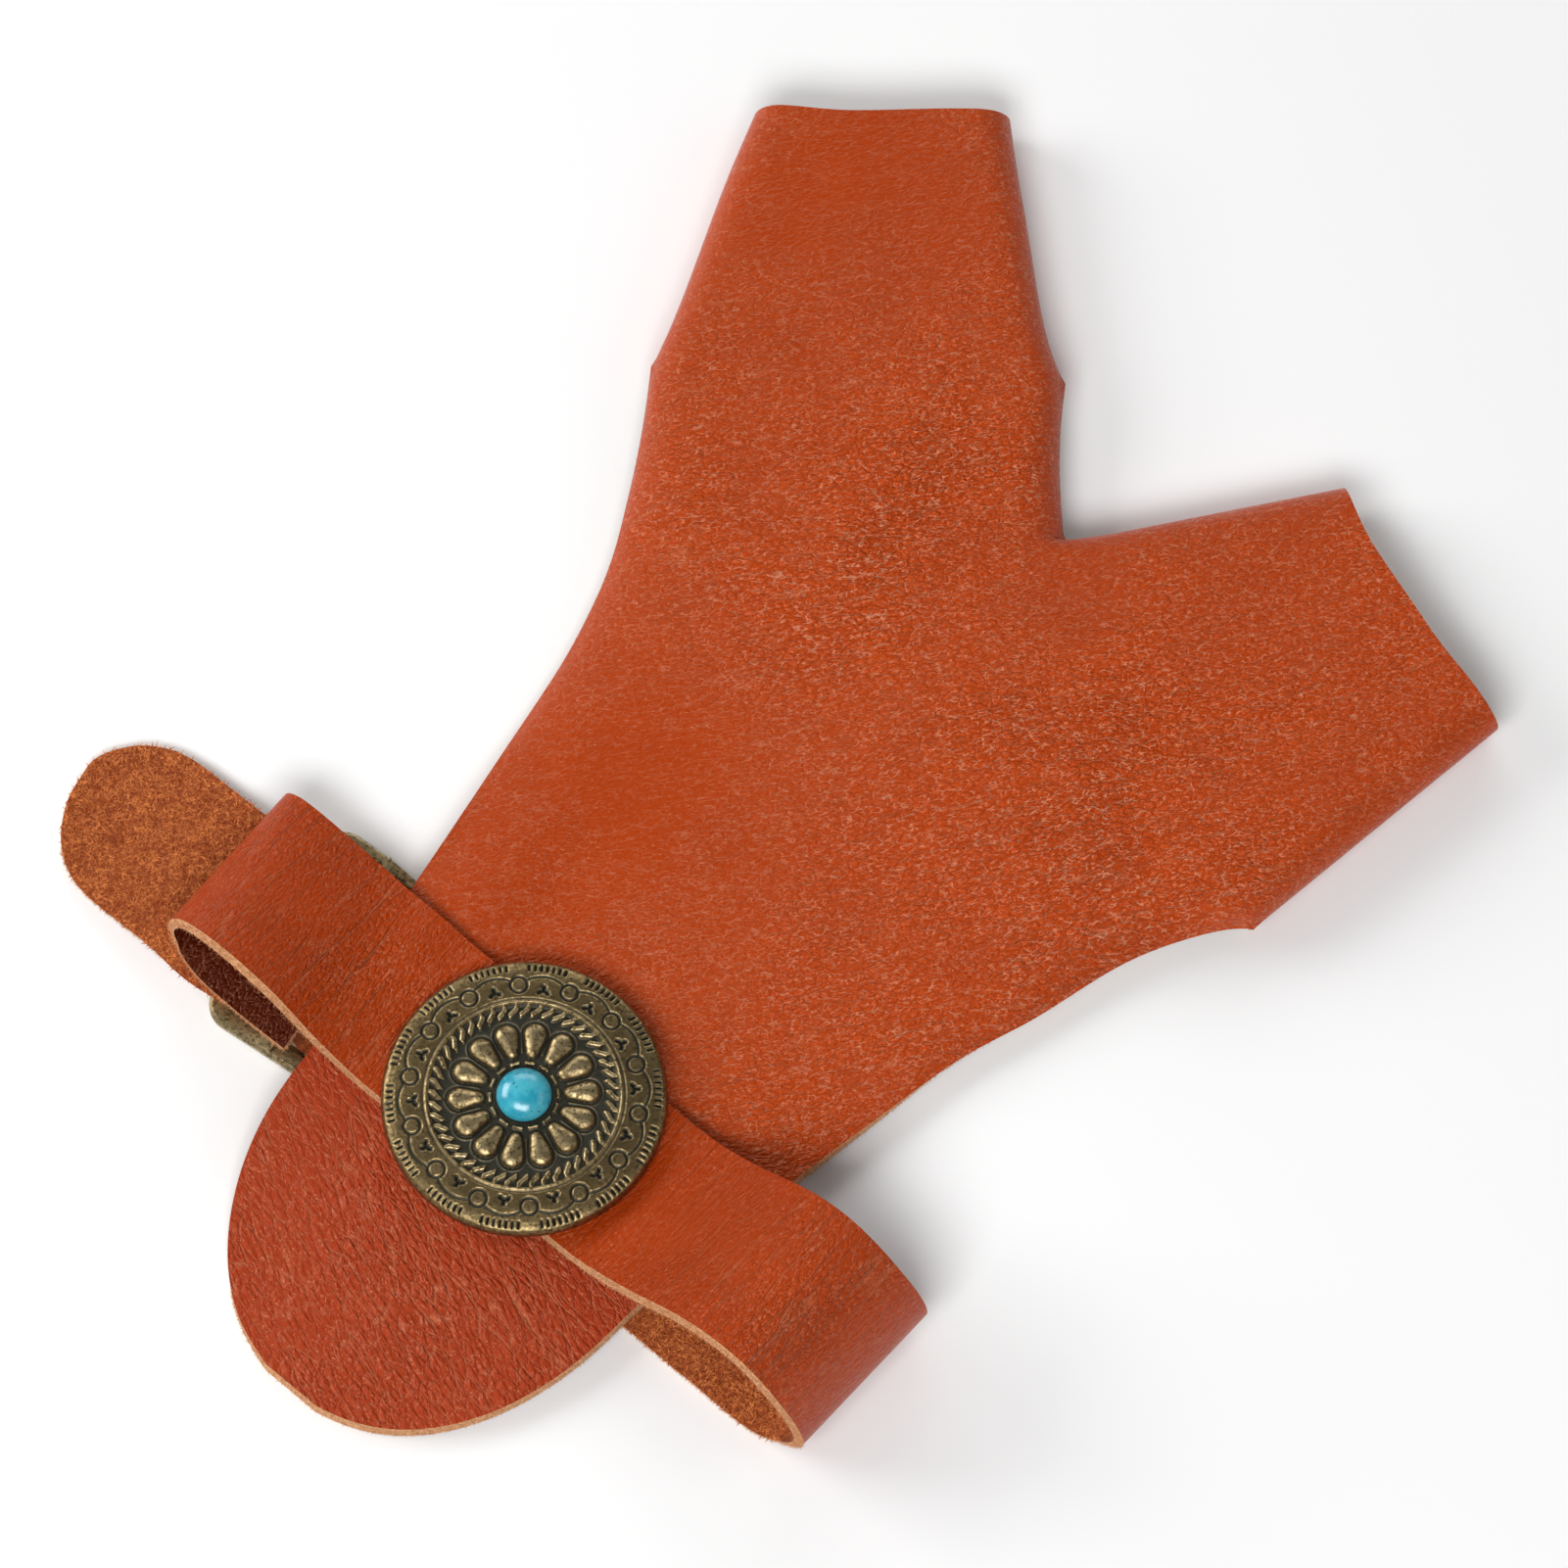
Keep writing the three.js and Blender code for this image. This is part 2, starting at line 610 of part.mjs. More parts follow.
function strapRows() {
  const left = (share) => -share * leftReach;
  const right = (share) => share * rightReach;
  const buckle = (share) => -bucklePlace - share * (buckleLength / 2 - barWidth / 2);
  const leftUp = (share) => mix(chapeOverStrap, leftArch - strapLeather / 2, share);
  const rightUp = (share) => mix(strapOnTable, rightArch, share);
  const tab = (share) => -mix(leftReach, tabReach, share);
  const under = strapOnTable;
  const over = strapOverBar;
  const thin = strapLeather;
  return [
    [buckle(0.08), chapeOverMiddle, chapeOverMiddle, -0.06, chapeLeather],
    [buckle(0.4), chapeOverMiddle + 0.1 * barHeight, chapeOverMiddle + 0.1 * barHeight, -0.06, chapeLeather],
    [buckle(1), chapeOverStrap, chapeOverStrap, -0.06, chapeLeather],
    [left(0.925), leftUp(0.03), leftUp(0.02), -0.05, 0.85 * chapeLeather],
    [left(0.978), leftUp(0.14), leftUp(0.09), -0.04, thin],
    [left(1.0), leftUp(0.4), leftUp(0.22), -0.02, thin],
    [left(0.967), leftUp(0.72), leftUp(0.34), 0, thin],
    [left(0.893), leftUp(0.94), leftUp(0.38), 0, thin],
    [left(0.8), leftUp(1.0), leftUp(0.32), 0, thin],
    [left(0.702), leftUp(0.91), mix(strapTopOverBar, leftUp(0.32), 0.35), 0, thin],
    [left(0.64), leftUp(0.79), mix(strapTopOverBar, leftUp(0.32), 0.02), 0, thin],
    [left(0.585), leftUp(0.6), 0.96 * strapTopOverBar, 0, thin],
    [left(0.53), leftUp(0.4), strapTopOverBar, 0, thin],
    [left(0.465), mix(strapTopOverBar, leftUp(0.4), 0.3), strapTopOverBar, 0, thin],
    [-0.508 * conchoDiameter, strapAtPost + 0.06 * strapLeather, strapAtPost, 0, thin],
    [-0.42 * conchoDiameter, strapAtPost, strapAtPost, 0, thin],
    [-0.2 * conchoDiameter, strapAtPost, strapAtPost, 0, thin],
    [0.2 * conchoDiameter, strapAtPost, strapAtPost, 0, thin],
    [0.42 * conchoDiameter, strapAtPost, strapAtPost, 0, thin],
    [0.51 * conchoDiameter, strapAtPost + 0.1 * strapLeather, strapAtPost, 0, thin],
    [right(0.41), rightUp(0.34), rightUp(0.27), 0, thin],
    [right(0.475), rightUp(0.46), rightUp(0.37), 0, thin],
    [right(0.54), rightUp(0.6), rightUp(0.5), 0, thin],
    [right(0.61), rightUp(0.78), rightUp(0.68), 0, thin],
    [right(0.69), rightUp(0.93), rightUp(0.86), 0, thin],
    [right(0.775), rightUp(1.0), rightUp(0.93), 0, thin],
    [right(0.855), rightUp(0.98), rightUp(0.88), -0.005, thin],
    [right(0.925), rightUp(0.85), rightUp(0.75), -0.01, thin],
    [right(0.975), rightUp(0.6), rightUp(0.55), 0, thin],
    [right(1.0), rightUp(0.34), rightUp(0.32), 0.005, thin],
    [right(0.985), rightUp(0.14), rightUp(0.13), 0, thin],
    [right(0.945), rightUp(0.03), rightUp(0.03), -0.015, thin],
    [right(0.88), under, under, RETURN_SHIFT, thin],
    [right(0.7), under, under, RETURN_SHIFT, thin],
    [right(0.35), under, under, RETURN_SHIFT, thin],
    [0, under, under, mix(RETURN_SHIFT, BUCKLE_SHIFT, 0.5), thin],
    [-0.36 * conchoDiameter, under, under, BUCKLE_SHIFT, thin],
    [-0.43 * conchoDiameter, mix(under, over, 0.03), mix(under, over, 0.03), BUCKLE_SHIFT, thin],
    [-0.52 * conchoDiameter, mix(under, over, 0.4), mix(under, over, 0.4), BUCKLE_SHIFT, thin],
    [buckle(-1.31), over, over, BUCKLE_SHIFT, thin],
    [buckle(-0.7), over, over, BUCKLE_SHIFT, thin],
    [buckle(-0.49), mix(under, over, 0.5), mix(under, over, 0.5), BUCKLE_SHIFT, thin],
    [buckle(-0.28), under, under, BUCKLE_SHIFT, thin],
    [buckle(0.28), under, under, BUCKLE_SHIFT, thin],
    [buckle(0.49), mix(under, over, 0.5), mix(under, over, 0.5), BUCKLE_SHIFT, thin],
    [buckle(0.7), over, over, mix(BUCKLE_SHIFT, TAB_SHIFT, 0.25), thin],
    [buckle(1.3), over, over, mix(BUCKLE_SHIFT, TAB_SHIFT, 0.7), thin],
    [tab(0.05), mix(under, over, 0.7), mix(under, over, 0.75), TAB_SHIFT, thin],
    [tab(0.3), mix(under, over, 0.35), mix(under, over, 0.5), TAB_SHIFT, thin],
    [tab(0.55), under, mix(under, over, 0.25), TAB_SHIFT, thin],
    [tab(0.8), under, under, TAB_SHIFT, thin],
    [tab(1.0), under, under, TAB_SHIFT, thin],
  ];
}

function makeWristStrap() {
  const rows = strapRows();
  const edgeCurve = (heightColumn, skew) => new THREE.CatmullRomCurve3(
    rows.map((row) => new THREE.Vector3(row[0] * (1 + skew), row[3] * strapWidth, row[heightColumn])),
    false,
    'centripetal',
  );
  const near = edgeCurve(1, -FOLD_SKEW);
  const far = edgeCurve(2, FOLD_SKEW);
  const tipRadius = tabWidth / 2;
  const TIP_ROUNDNESS = 1.9;
  const sheet = new Sheet();
  const thicknesses = [];
  const rowIndices = [];
  for (let i = 0; i <= STRAP_STEPS_ALONG; i += 1) {
    const share = i / STRAP_STEPS_ALONG;
    const nearPoint = near.getPoint(share);
    const farPoint = far.getPoint(share);
    const rowPlace = share * (rows.length - 1);
    const before = Math.min(Math.floor(rowPlace), rows.length - 2);
    const thickness = mix(rows[before][4], rows[before + 1][4], rowPlace - before);
    const toTip = nearPoint.x + tabReach;
    const isTab = before > rows.length / 2 && toTip < tabReach - leftReach;
    const inTip = isTab ? THREE.MathUtils.clamp(1 - toTip / tipRadius, 0, 1) : 0;
    const rounding = Math.max(0.22, (1 - inTip ** TIP_ROUNDNESS) ** (1 / TIP_ROUNDNESS));
    const half = ((isTab ? tabWidth : strapWidth) / 2) * rounding;
    const points = [];
    for (let j = 0; j <= STRAP_STEPS_ACROSS; j += 1) {
      const across = j / STRAP_STEPS_ACROSS;
      const along = mix(nearPoint.x, farPoint.x, across);
      const height = Math.max(mix(nearPoint.z, farPoint.z, across), thickness / 2);
      const flat = strapPoint(along, nearPoint.y + mix(-half, half, across));
      points.push(new THREE.Vector3(flat.x, flat.y, height));
      thicknesses.push(thickness);
    }
    rowIndices.push(sheet.addRow(points));
  }
  for (let i = 1; i < rowIndices.length; i += 1) {
    sheet.join(rowIndices[i], rowIndices[i - 1]);
  }
  const solid = solidOf(sheet.thicken((i) => thicknesses[i]));
  return geometryOf(solid.subtract(postHole(strapAtPost, 3 * strapLeather)));
}

// Buckle: a flat frame with rounded corners and a middle bar that stands a little higher
function roundedRectangle(path, halfLength, halfWidth, radius) {
  path.moveTo(-halfLength + radius, -halfWidth);
  path.lineTo(halfLength - radius, -halfWidth);
  path.absarc(halfLength - radius, -halfWidth + radius, radius, -Math.PI / 2, 0, false);
  path.lineTo(halfLength, halfWidth - radius);
  path.absarc(halfLength - radius, halfWidth - radius, radius, 0, Math.PI / 2, false);
  path.lineTo(-halfLength + radius, halfWidth);
  path.absarc(-halfLength + radius, halfWidth - radius, radius, Math.PI / 2, Math.PI, false);
  path.lineTo(-halfLength, -halfWidth + radius);
  path.absarc(-halfLength + radius, -halfWidth + radius, radius, Math.PI, 1.5 * Math.PI, false);
  return path;
}

function makeBuckleFrame() {
  const bevel = 0.25 * barHeight;
  const outline = roundedRectangle(
    new THREE.Shape(),
    buckleLength / 2 - bevel,
    buckleWidth / 2 - bevel,
    1.3 * barWidth - bevel,
  );
  const window = roundedRectangle(
    new THREE.Path(),
    buckleLength / 2 - barWidth + bevel,
    buckleWidth / 2 - barWidth + bevel,
    0.6 * barWidth,
  );
  outline.holes.push(window);
  const frame = new THREE.ExtrudeGeometry(outline, {
    depth: barHeight - 2 * bevel,
    bevelThickness: bevel,
    bevelSize: bevel,
    bevelSegments: 1,
    curveSegments: 4,
  });
  frame.translate(0, 0, bevel);
  const bar = new THREE.BoxGeometry(0.8 * barWidth, buckleWidth - 0.6 * barWidth, middleBarHeight);
  bar.translate(0, 0, middleBarFloor + middleBarHeight / 2);
  const footHeight = middleBarFloor + middleBarHeight - 0.4 * barHeight;
  const feet = [-1, 1].map((side) => {
    const foot = new THREE.BoxGeometry(0.8 * barWidth, 0.7 * barWidth, footHeight);
    foot.translate(0, side * (buckleWidth / 2 - barWidth / 2), 0.4 * barHeight + footHeight / 2);
    return solidOf(foot);
  });
  const joined = feet.reduce((whole, foot) => whole.add(foot), solidOf(frame).add(solidOf(bar)));
  const geometry = geometryOf(joined);
  geometry.rotateZ(radians(strapDirection + buckleSkew));
  const place = strapPoint(-bucklePlace, BUCKLE_SHIFT * strapWidth);
  geometry.translate(place.x, place.y, 0);
  return geometry;
}

// Concho: a cast plate with a raised rim, a raised inner ring, petals in the sunk middle and a
// bezel for the stone. Its back has a blind bore for the post.
const fieldDepth = 0.25 * conchoThickness;
const sunkDepth = 0.4 * conchoThickness;
const boreDepth = 0.35 * conchoThickness;
const CONCHO_SIDES = 3 * petalCount;
const SMALL_SIDES = 20;

function turnedSolid(profile, segments) {
  const geometry = new THREE.LatheGeometry(profile.map(([r, z]) => new THREE.Vector2(r, z)), segments);
  geometry.rotateX(Math.PI / 2);
  return solidOf(geometry);
}

function makeConchoPlate() {
  const radius = conchoDiameter / 2;
  const ring = innerRingDiameter / 2;
  const top = conchoThickness;
  const bezel = stoneDiameter / 2 + clearance + bezelWall;
  const bore = postDiameter / 2 + clearance;
  const sunk = top - sunkDepth;
  const field = top - fieldDepth;
  const seat = sunk + 0.2 * sunkDepth;
  const profile = [
    [0, boreDepth],
    [bore, boreDepth],
    [bore, 0],
    [0.95 * radius, 0],
    [radius, 0.28 * top],
    [radius, 0.62 * top],
    [0.978 * radius, 0.86 * top],
    [0.94 * radius, 0.94 * top],
    [0.9 * radius, field],
    [ring + 0.035 * radius, field],
    [ring + 0.02 * radius, top],
    [ring - 0.02 * radius, top],
    [ring - 0.04 * radius, sunk + 0.2 * sunkDepth],
    [0.5 * ring, sunk],
    [bezel, sunk],
    [bezel, top],
    [bezel - bezelWall, top],
    [bezel - bezelWall, seat],
    [0, seat],
  ];
  let solid = turnedSolid(profile, CONCHO_SIDES);
  const petalMiddle = mix(bezel, ring, 0.5);
  const bossPlace = mix(ring, radius, 0.42);
  const bossRadius = 0.052 * radius;
  for (let i = 0; i < petalCount; i += 1) {
    const turn = (i / petalCount) * 2 * Math.PI;
    const petal = new THREE.SphereGeometry(1, 8, 6);
    petal.scale(petalLength / 2, petalWidth / 2, 0.9 * sunkDepth);
    petal.translate(petalMiddle, 0, sunk);
    petal.rotateZ(turn);
    solid = solid.add(solidOf(petal));
    const boss = new THREE.CylinderGeometry(bossRadius, bossRadius, fieldDepth, 8);
    boss.rotateX(Math.PI / 2);
    boss.translate(bossPlace, 0, field);
    boss.rotateZ(turn + Math.PI / petalCount);
    solid = solid.add(solidOf(boss));
  }
  const geometry = geometryOf(solid);
  geometry.translate(0, 0, conchoBack);
  return geometry;
}

function makeTurquoiseStone() {
  const radius = stoneDiameter / 2;
  const seat = conchoThickness - sunkDepth + 0.2 * sunkDepth;
  const profile = [[0, 0], [0.94 * radius, 0], [radius, 0.08 * stoneHeight]];
  const girdle = 0.3 * stoneHeight;
  const DOME_STEPS = 6;
  for (let i = 0; i < DOME_STEPS; i += 1) {
    const angle = (i / DOME_STEPS) * (Math.PI / 2);
    profile.push([radius * Math.cos(angle), girdle + (stoneHeight - girdle) * Math.sin(angle)]);
  }
  profile.push([0, stoneHeight]);
  const geometry = geometryOf(turnedSolid(profile, SMALL_SIDES));
  geometry.translate(0, 0, conchoBack + seat + clearance);
  return geometry;
}

function makeConchoPost() {
  const head = postHeadDiameter / 2;
  const shaft = postDiameter / 2;
  const shaftTop = conchoBack + boreDepth - clearance;
  const profile = [
    [0, postHeadFloor],
    [0.94 * head, postHeadFloor],
    [head, postHeadFloor + 0.3 * postHeadHeight],
    [head, postHeadFloor + postHeadHeight],
    [shaft, postHeadFloor + postHeadHeight],
    [shaft, shaftTop],
    [0, shaftTop],
  ];
  return geometryOf(turnedSolid(profile, SMALL_SIDES));
}

function leatherMaterial(colour) {
  return new THREE.MeshStandardMaterial({ color: colour, roughness: 0.5, metalness: 0 });
}

function brassMaterial() {
  return new THREE.MeshStandardMaterial({ color: BRASS_COLOUR, roughness: 0.38, metalness: 1 });
}

function stoneMaterial() {
  return new THREE.MeshStandardMaterial({ color: STONE_COLOUR, roughness: 0.2, metalness: 0 });
}

const pieces = [
  ['glove_body', makeGloveBody(), leatherMaterial(GLOVE_COLOUR)],
  ['wrist_strap', makeWristStrap(), leatherMaterial(STRAP_COLOUR)],
  ['buckle_frame', makeBuckleFrame(), brassMaterial()],
  ['concho_plate', makeConchoPlate(), brassMaterial()],
  ['turquoise_stone', makeTurquoiseStone(), stoneMaterial()],
  ['concho_post', makeConchoPost(), brassMaterial()],
];

// The glove is moved so that the origin is at the middle of its footprint
const glove = new THREE.Group();
const footprint = new THREE.Box3();
for (const [name, geometry, material] of pieces) {
  geometry.computeVertexNormals();
  geometry.computeBoundingBox();
  footprint.union(geometry.boundingBox);
  const mesh = new THREE.Mesh(geometry, material);
  mesh.name = name;
  glove.add(mesh);
}
const middle = footprint.getCenter(new THREE.Vector3());
glove.children.forEach((mesh) => mesh.position.set(-middle.x, -middle.y, -footprint.min.z));

export default glove;
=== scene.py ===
# %% [markdown]
# # A leather archery glove, dressed
# The glove is one sheet of pebbled leather with a sleeve for the index finger and one for the
# thumb, a strap that runs round the wrist, a brass buckle and a brass concho with a turquoise
# stone. Its solids come from a fixed frame. This lesson gives them the surface of the real thing:
# grain, suede, raw cut edges, stamped brass and polished stone. It starts by loading the frame,
# because every piece that follows takes its place from it.

# %% Load the frame
from math import cos, pi, radians, sin

import bmesh
import bpy
import numpy as np
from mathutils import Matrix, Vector


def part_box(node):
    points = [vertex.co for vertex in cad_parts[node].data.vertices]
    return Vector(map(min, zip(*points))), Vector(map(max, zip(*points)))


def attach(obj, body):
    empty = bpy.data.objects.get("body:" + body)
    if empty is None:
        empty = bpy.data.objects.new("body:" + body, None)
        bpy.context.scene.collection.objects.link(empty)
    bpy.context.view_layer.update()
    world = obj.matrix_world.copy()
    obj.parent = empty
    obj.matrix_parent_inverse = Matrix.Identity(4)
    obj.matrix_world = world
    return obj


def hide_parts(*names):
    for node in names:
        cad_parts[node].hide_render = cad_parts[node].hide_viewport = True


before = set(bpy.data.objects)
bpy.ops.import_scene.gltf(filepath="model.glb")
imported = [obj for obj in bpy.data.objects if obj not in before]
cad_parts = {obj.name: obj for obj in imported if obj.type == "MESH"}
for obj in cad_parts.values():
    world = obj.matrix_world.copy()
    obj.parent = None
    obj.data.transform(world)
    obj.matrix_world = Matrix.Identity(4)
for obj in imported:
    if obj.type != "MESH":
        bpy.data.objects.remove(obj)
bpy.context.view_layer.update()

MM = 0.001

# %% [markdown]
# ## Selecting in code
# Blender's operators act on whatever is selected, and loading the frame leaves its nodes
# selected. So each step first selects one object alone, and then, in edit mode, the faces it
# needs by their place.

# %% Selection helpers
def select_only(piece):
    bpy.ops.object.select_all(action="DESELECT")
    piece.select_set(True)
    bpy.context.view_layer.objects.active = piece


def edit(piece, kind="FACE"):
    select_only(piece)
    bpy.ops.object.mode_set(mode="EDIT")
    bpy.ops.mesh.select_mode(type=kind)
    bpy.ops.mesh.select_all(action="DESELECT")
    return bmesh.from_edit_mesh(piece.data)


def leave(piece):
    bpy.ops.object.mode_set(mode="OBJECT")
    print(piece.name, len(piece.data.polygons), "faces")


def finish_modifier(piece, kind, **settings):
    """Adds one modifier, sets it and applies it."""
    select_only(piece)
    modifier = piece.modifiers.new(kind.title(), kind)
    for name, value in settings.items():
        setattr(modifier, name, value)
    bpy.ops.object.modifier_apply(modifier=modifier.name)


def settle(piece):
    """Puts the piece's place into its mesh, so that its object sits at the origin, unturned."""
    select_only(piece)
    bpy.ops.object.transform_apply(location=True, rotation=True, scale=True)


# %% [markdown]
# ## Directions on the glove
# The wrist strap crosses the glove at a slant. Creases, marks and fibres on it follow the strap,
# so two directions are kept: along the strap, and across it. The concho's middle is the point
# that both the strap and the tail are pinned at.

# %% Strap directions and the concho's middle
STRAP_DIRECTION = radians(-40.3)
ALONG = Vector((cos(STRAP_DIRECTION), sin(STRAP_DIRECTION), 0))
ACROSS = Vector((-ALONG.y, ALONG.x, 0))
concho_low, concho_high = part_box("concho_plate")
CONCHO_MIDDLE = (concho_low + concho_high) / 2


def strap_place(point):
    """Distances along and across the strap from the concho's middle, in mm."""
    offset = (point - CONCHO_MIDDLE) / MM
    return offset.dot(ALONG), offset.dot(ACROSS)


print("concho middle in mm:", [round(c / MM, 2) for c in CONCHO_MIDDLE])

# %% [markdown]
# ## Materials as small graphs
# Every finish is a graph of nodes. One helper turns a hex colour, as a paint chart gives it, into
# the linear values that Blender works in, and one adds a node with its settings and its links. A
# node that is given as another's value stands for its first output in use, so a graph reads from
# the inside out.

# %% Colour and node helpers
def linear(hex_colour, alpha=1.0):
    values = [int(hex_colour[i:i + 2], 16) / 255 for i in (1, 3, 5)]
    lit = [v / 12.92 if v <= 0.04045 else ((v + 0.055) / 1.055) ** 2.4 for v in values]
    return (*lit, alpha)


def in_use(made):
    """The first output that the node's settings leave in use."""
    return next(output for output in made.outputs if output.enabled)


def node(tree, kind, sockets=None, **settings):
    """Adds a node. A socket's value is a number, a hex colour, a node or a node's output."""
    made = tree.nodes.new(kind)
    for name, value in settings.items():
        setattr(made, name, value)
    for name, value in (sockets or {}).items():
        if isinstance(value, str):
            value = linear(value)
        if isinstance(value, bpy.types.Node):
            value = in_use(value)
        if isinstance(value, bpy.types.NodeSocket):
            tree.links.new(value, made.inputs[name])
        else:
            made.inputs[name].default_value = value
    return made


def new_material(name, shader_values):
    material = bpy.data.materials.new(name)
    material.use_nodes = True
    tree = material.node_tree
    tree.nodes.clear()
    shader = node(tree, "ShaderNodeBsdfPrincipled", shader_values)
    node(tree, "ShaderNodeOutputMaterial", {"Surface": shader})
    return material, tree, shader


def dress(material, shader, colour, height=None, distance_mm=0.0):
    """Gives the shader its colour, and a bump as high as the distance where height is 1."""
    tree = material.node_tree
    tree.links.new(in_use(colour), shader.inputs["Base Color"])
    if height:
        bump = node(tree, "ShaderNodeBump", {
            "Height": height, "Strength": 1.0, "Distance": distance_mm * MM})
        tree.links.new(in_use(bump), shader.inputs["Normal"])
    print(material.name, len(tree.nodes), "nodes")


# %% [markdown]
# ## Patterns at their real size
# A pattern looks right only at the right size, so each is laid out in units of one of its own
# grains, as wide as the real thing's in millimetres. Three helpers serve every material:
# coordinates in grains, blots of noise, and a stain that lays one colour over another as a number
# rises.

# %% Pattern helpers
def object_place(tree, grain_mm, turn=0.0, stretch=(1, 1, 1)):
    """Object coordinates in units of one grain, turned and stretched."""
    turned = node(tree, "ShaderNodeMapping", {
        "Vector": node(tree, "ShaderNodeTexCoord").outputs["Object"],
        "Rotation": (0, 0, -turn)}, vector_type="POINT")
    scale = tuple(1 / (grain_mm * MM * share) for share in stretch)
    return node(tree, "ShaderNodeVectorMath", {0: turned, 1: scale}, operation="MULTIPLY")


def blots(tree, size_mm, detail, roughness=0.5, **settings):
    """Noise whose blots are about as wide as the size that is given."""
    return node(tree, "ShaderNodeTexNoise", {
        "Vector": object_place(tree, size_mm), "Scale": 1.0, "Detail": detail,
        "Roughness": roughness}, **settings)


def stain(tree, amount, start, full, under, over, most=1.0, kind="SMOOTHSTEP"):
    """Lays one colour over another: none of it at start, and most of it at full."""
    share = node(tree, "ShaderNodeMapRange", {
        "Value": amount, "From Min": start, "From Max": full, "To Max": most},
        interpolation_type=kind)
    return node(tree, "ShaderNodeMix", {0: share, 6: under, 7: over}, data_type="RGBA")


# %% [markdown]
# ## Pebbled leather
# The outside is chrome-tanned cowhide, dyed through, finished with a thin satin coat and tumbled
# until its grain drew up into small pebbles. The pebbles are cells of a Voronoi pattern about 1
# mm wide, warped by noise and drawn out along the crease direction. Folds are the edges of much
# longer cells. They only bump the surface, since real ones are a tenth of a millimetre high. A
# hide isn't even, so two numbers kept on the mesh, "grain" and "slack", say how strong and how
# coarse it is at each place.

# %% Cells of the grain
SLACK_GROWTH = 1.5


def laid_out(tree, size_mm, stretch, turns, warp):
    """Coordinates in cells: turned, coarser where the hide is slack, and warped by noise."""
    place = node(tree, "ShaderNodeMix", {
        0: node(tree, "ShaderNodeAttribute", attribute_name="slack").outputs["Fac"],
        4: object_place(tree, size_mm, turns[0], stretch),
        5: object_place(tree, size_mm * SLACK_GROWTH, turns[1], stretch)}, data_type="VECTOR")
    wobble = node(tree, "ShaderNodeTexNoise", {"Vector": place, "Scale": 0.6, "Detail": 2.0})
    return node(tree, "ShaderNodeVectorMath", {
        0: wobble.outputs["Color"], 1: (2 * warp,) * 3, 2: place}, operation="MULTIPLY_ADD")


def from_edge(tree, cells, scale, near, far, at_edge=0.0, inside=1.0, kind="LINEAR"):
    """A number that changes between two distances from the cells' edges."""
    distance = node(tree, "ShaderNodeTexVoronoi", {"Vector": cells, "Scale": scale},
                    feature="DISTANCE_TO_EDGE")
    return node(tree, "ShaderNodeMapRange", {
        "Value": distance, "From Min": near, "From Max": far, "To Min": at_edge,
        "To Max": inside}, interpolation_type=kind)


def broken_lines(tree, cells, scale, near, far, detail, roughness, low, high):
    """Lines along the cells' edges, broken into pieces where noise is low."""
    lines = from_edge(tree, cells, scale, near, far, 1.0, 0.0, "SMOOTHSTEP")
    chance = node(tree, "ShaderNodeTexNoise", {
        "Vector": cells, "Scale": 1.0, "Detail": detail, "Roughness": roughness})
    pieces = node(tree, "ShaderNodeMapRange", {
        "Value": chance, "From Min": low, "From Max": high}, interpolation_type="SMOOTHSTEP")
    return node(tree, "ShaderNodeMath", {0: lines, 1: pieces}, operation="MULTIPLY")


# %% [markdown]
# The relief adds up three sizes of form: pebbles with finer wrinkles on them, folds that cut into
# them, and a slow swell, as of leather that doesn't lie quite flat. The dye is deeper in patches
# and paler where it is pulled round a bend. The valleys of the slack grain are darkened with
# painted shade. A photograph shows each pebble by a thin dash of light on its edge. Light from a
# soft lamp is too even to draw those, so they are laid in as fine pale lines of painted
# highlight, and the crests of the folds are lightened with painted highlight too.

# %% Pebbled leather
PEBBLE_SHAPE, PEBBLE_WARP = (1.7, 0.82, 1.0), 0.3
FOLD_MM, FOLD_WIDTH, FOLD_WARP = 5.5, 0.26, 0.5
PATCH_MM, MOTTLE_MM, SWELL_MM = 14.0, 9.0, 15.0
SWELL_HEIGHT = 0.7
SLACK_RED, VALLEY_SHADE_BROWN = "#A03A22", "#8E2C0A"
DASH_TAN, FOLD_HIGHLIGHT_TAN = "#E8A886", "#D98E66"


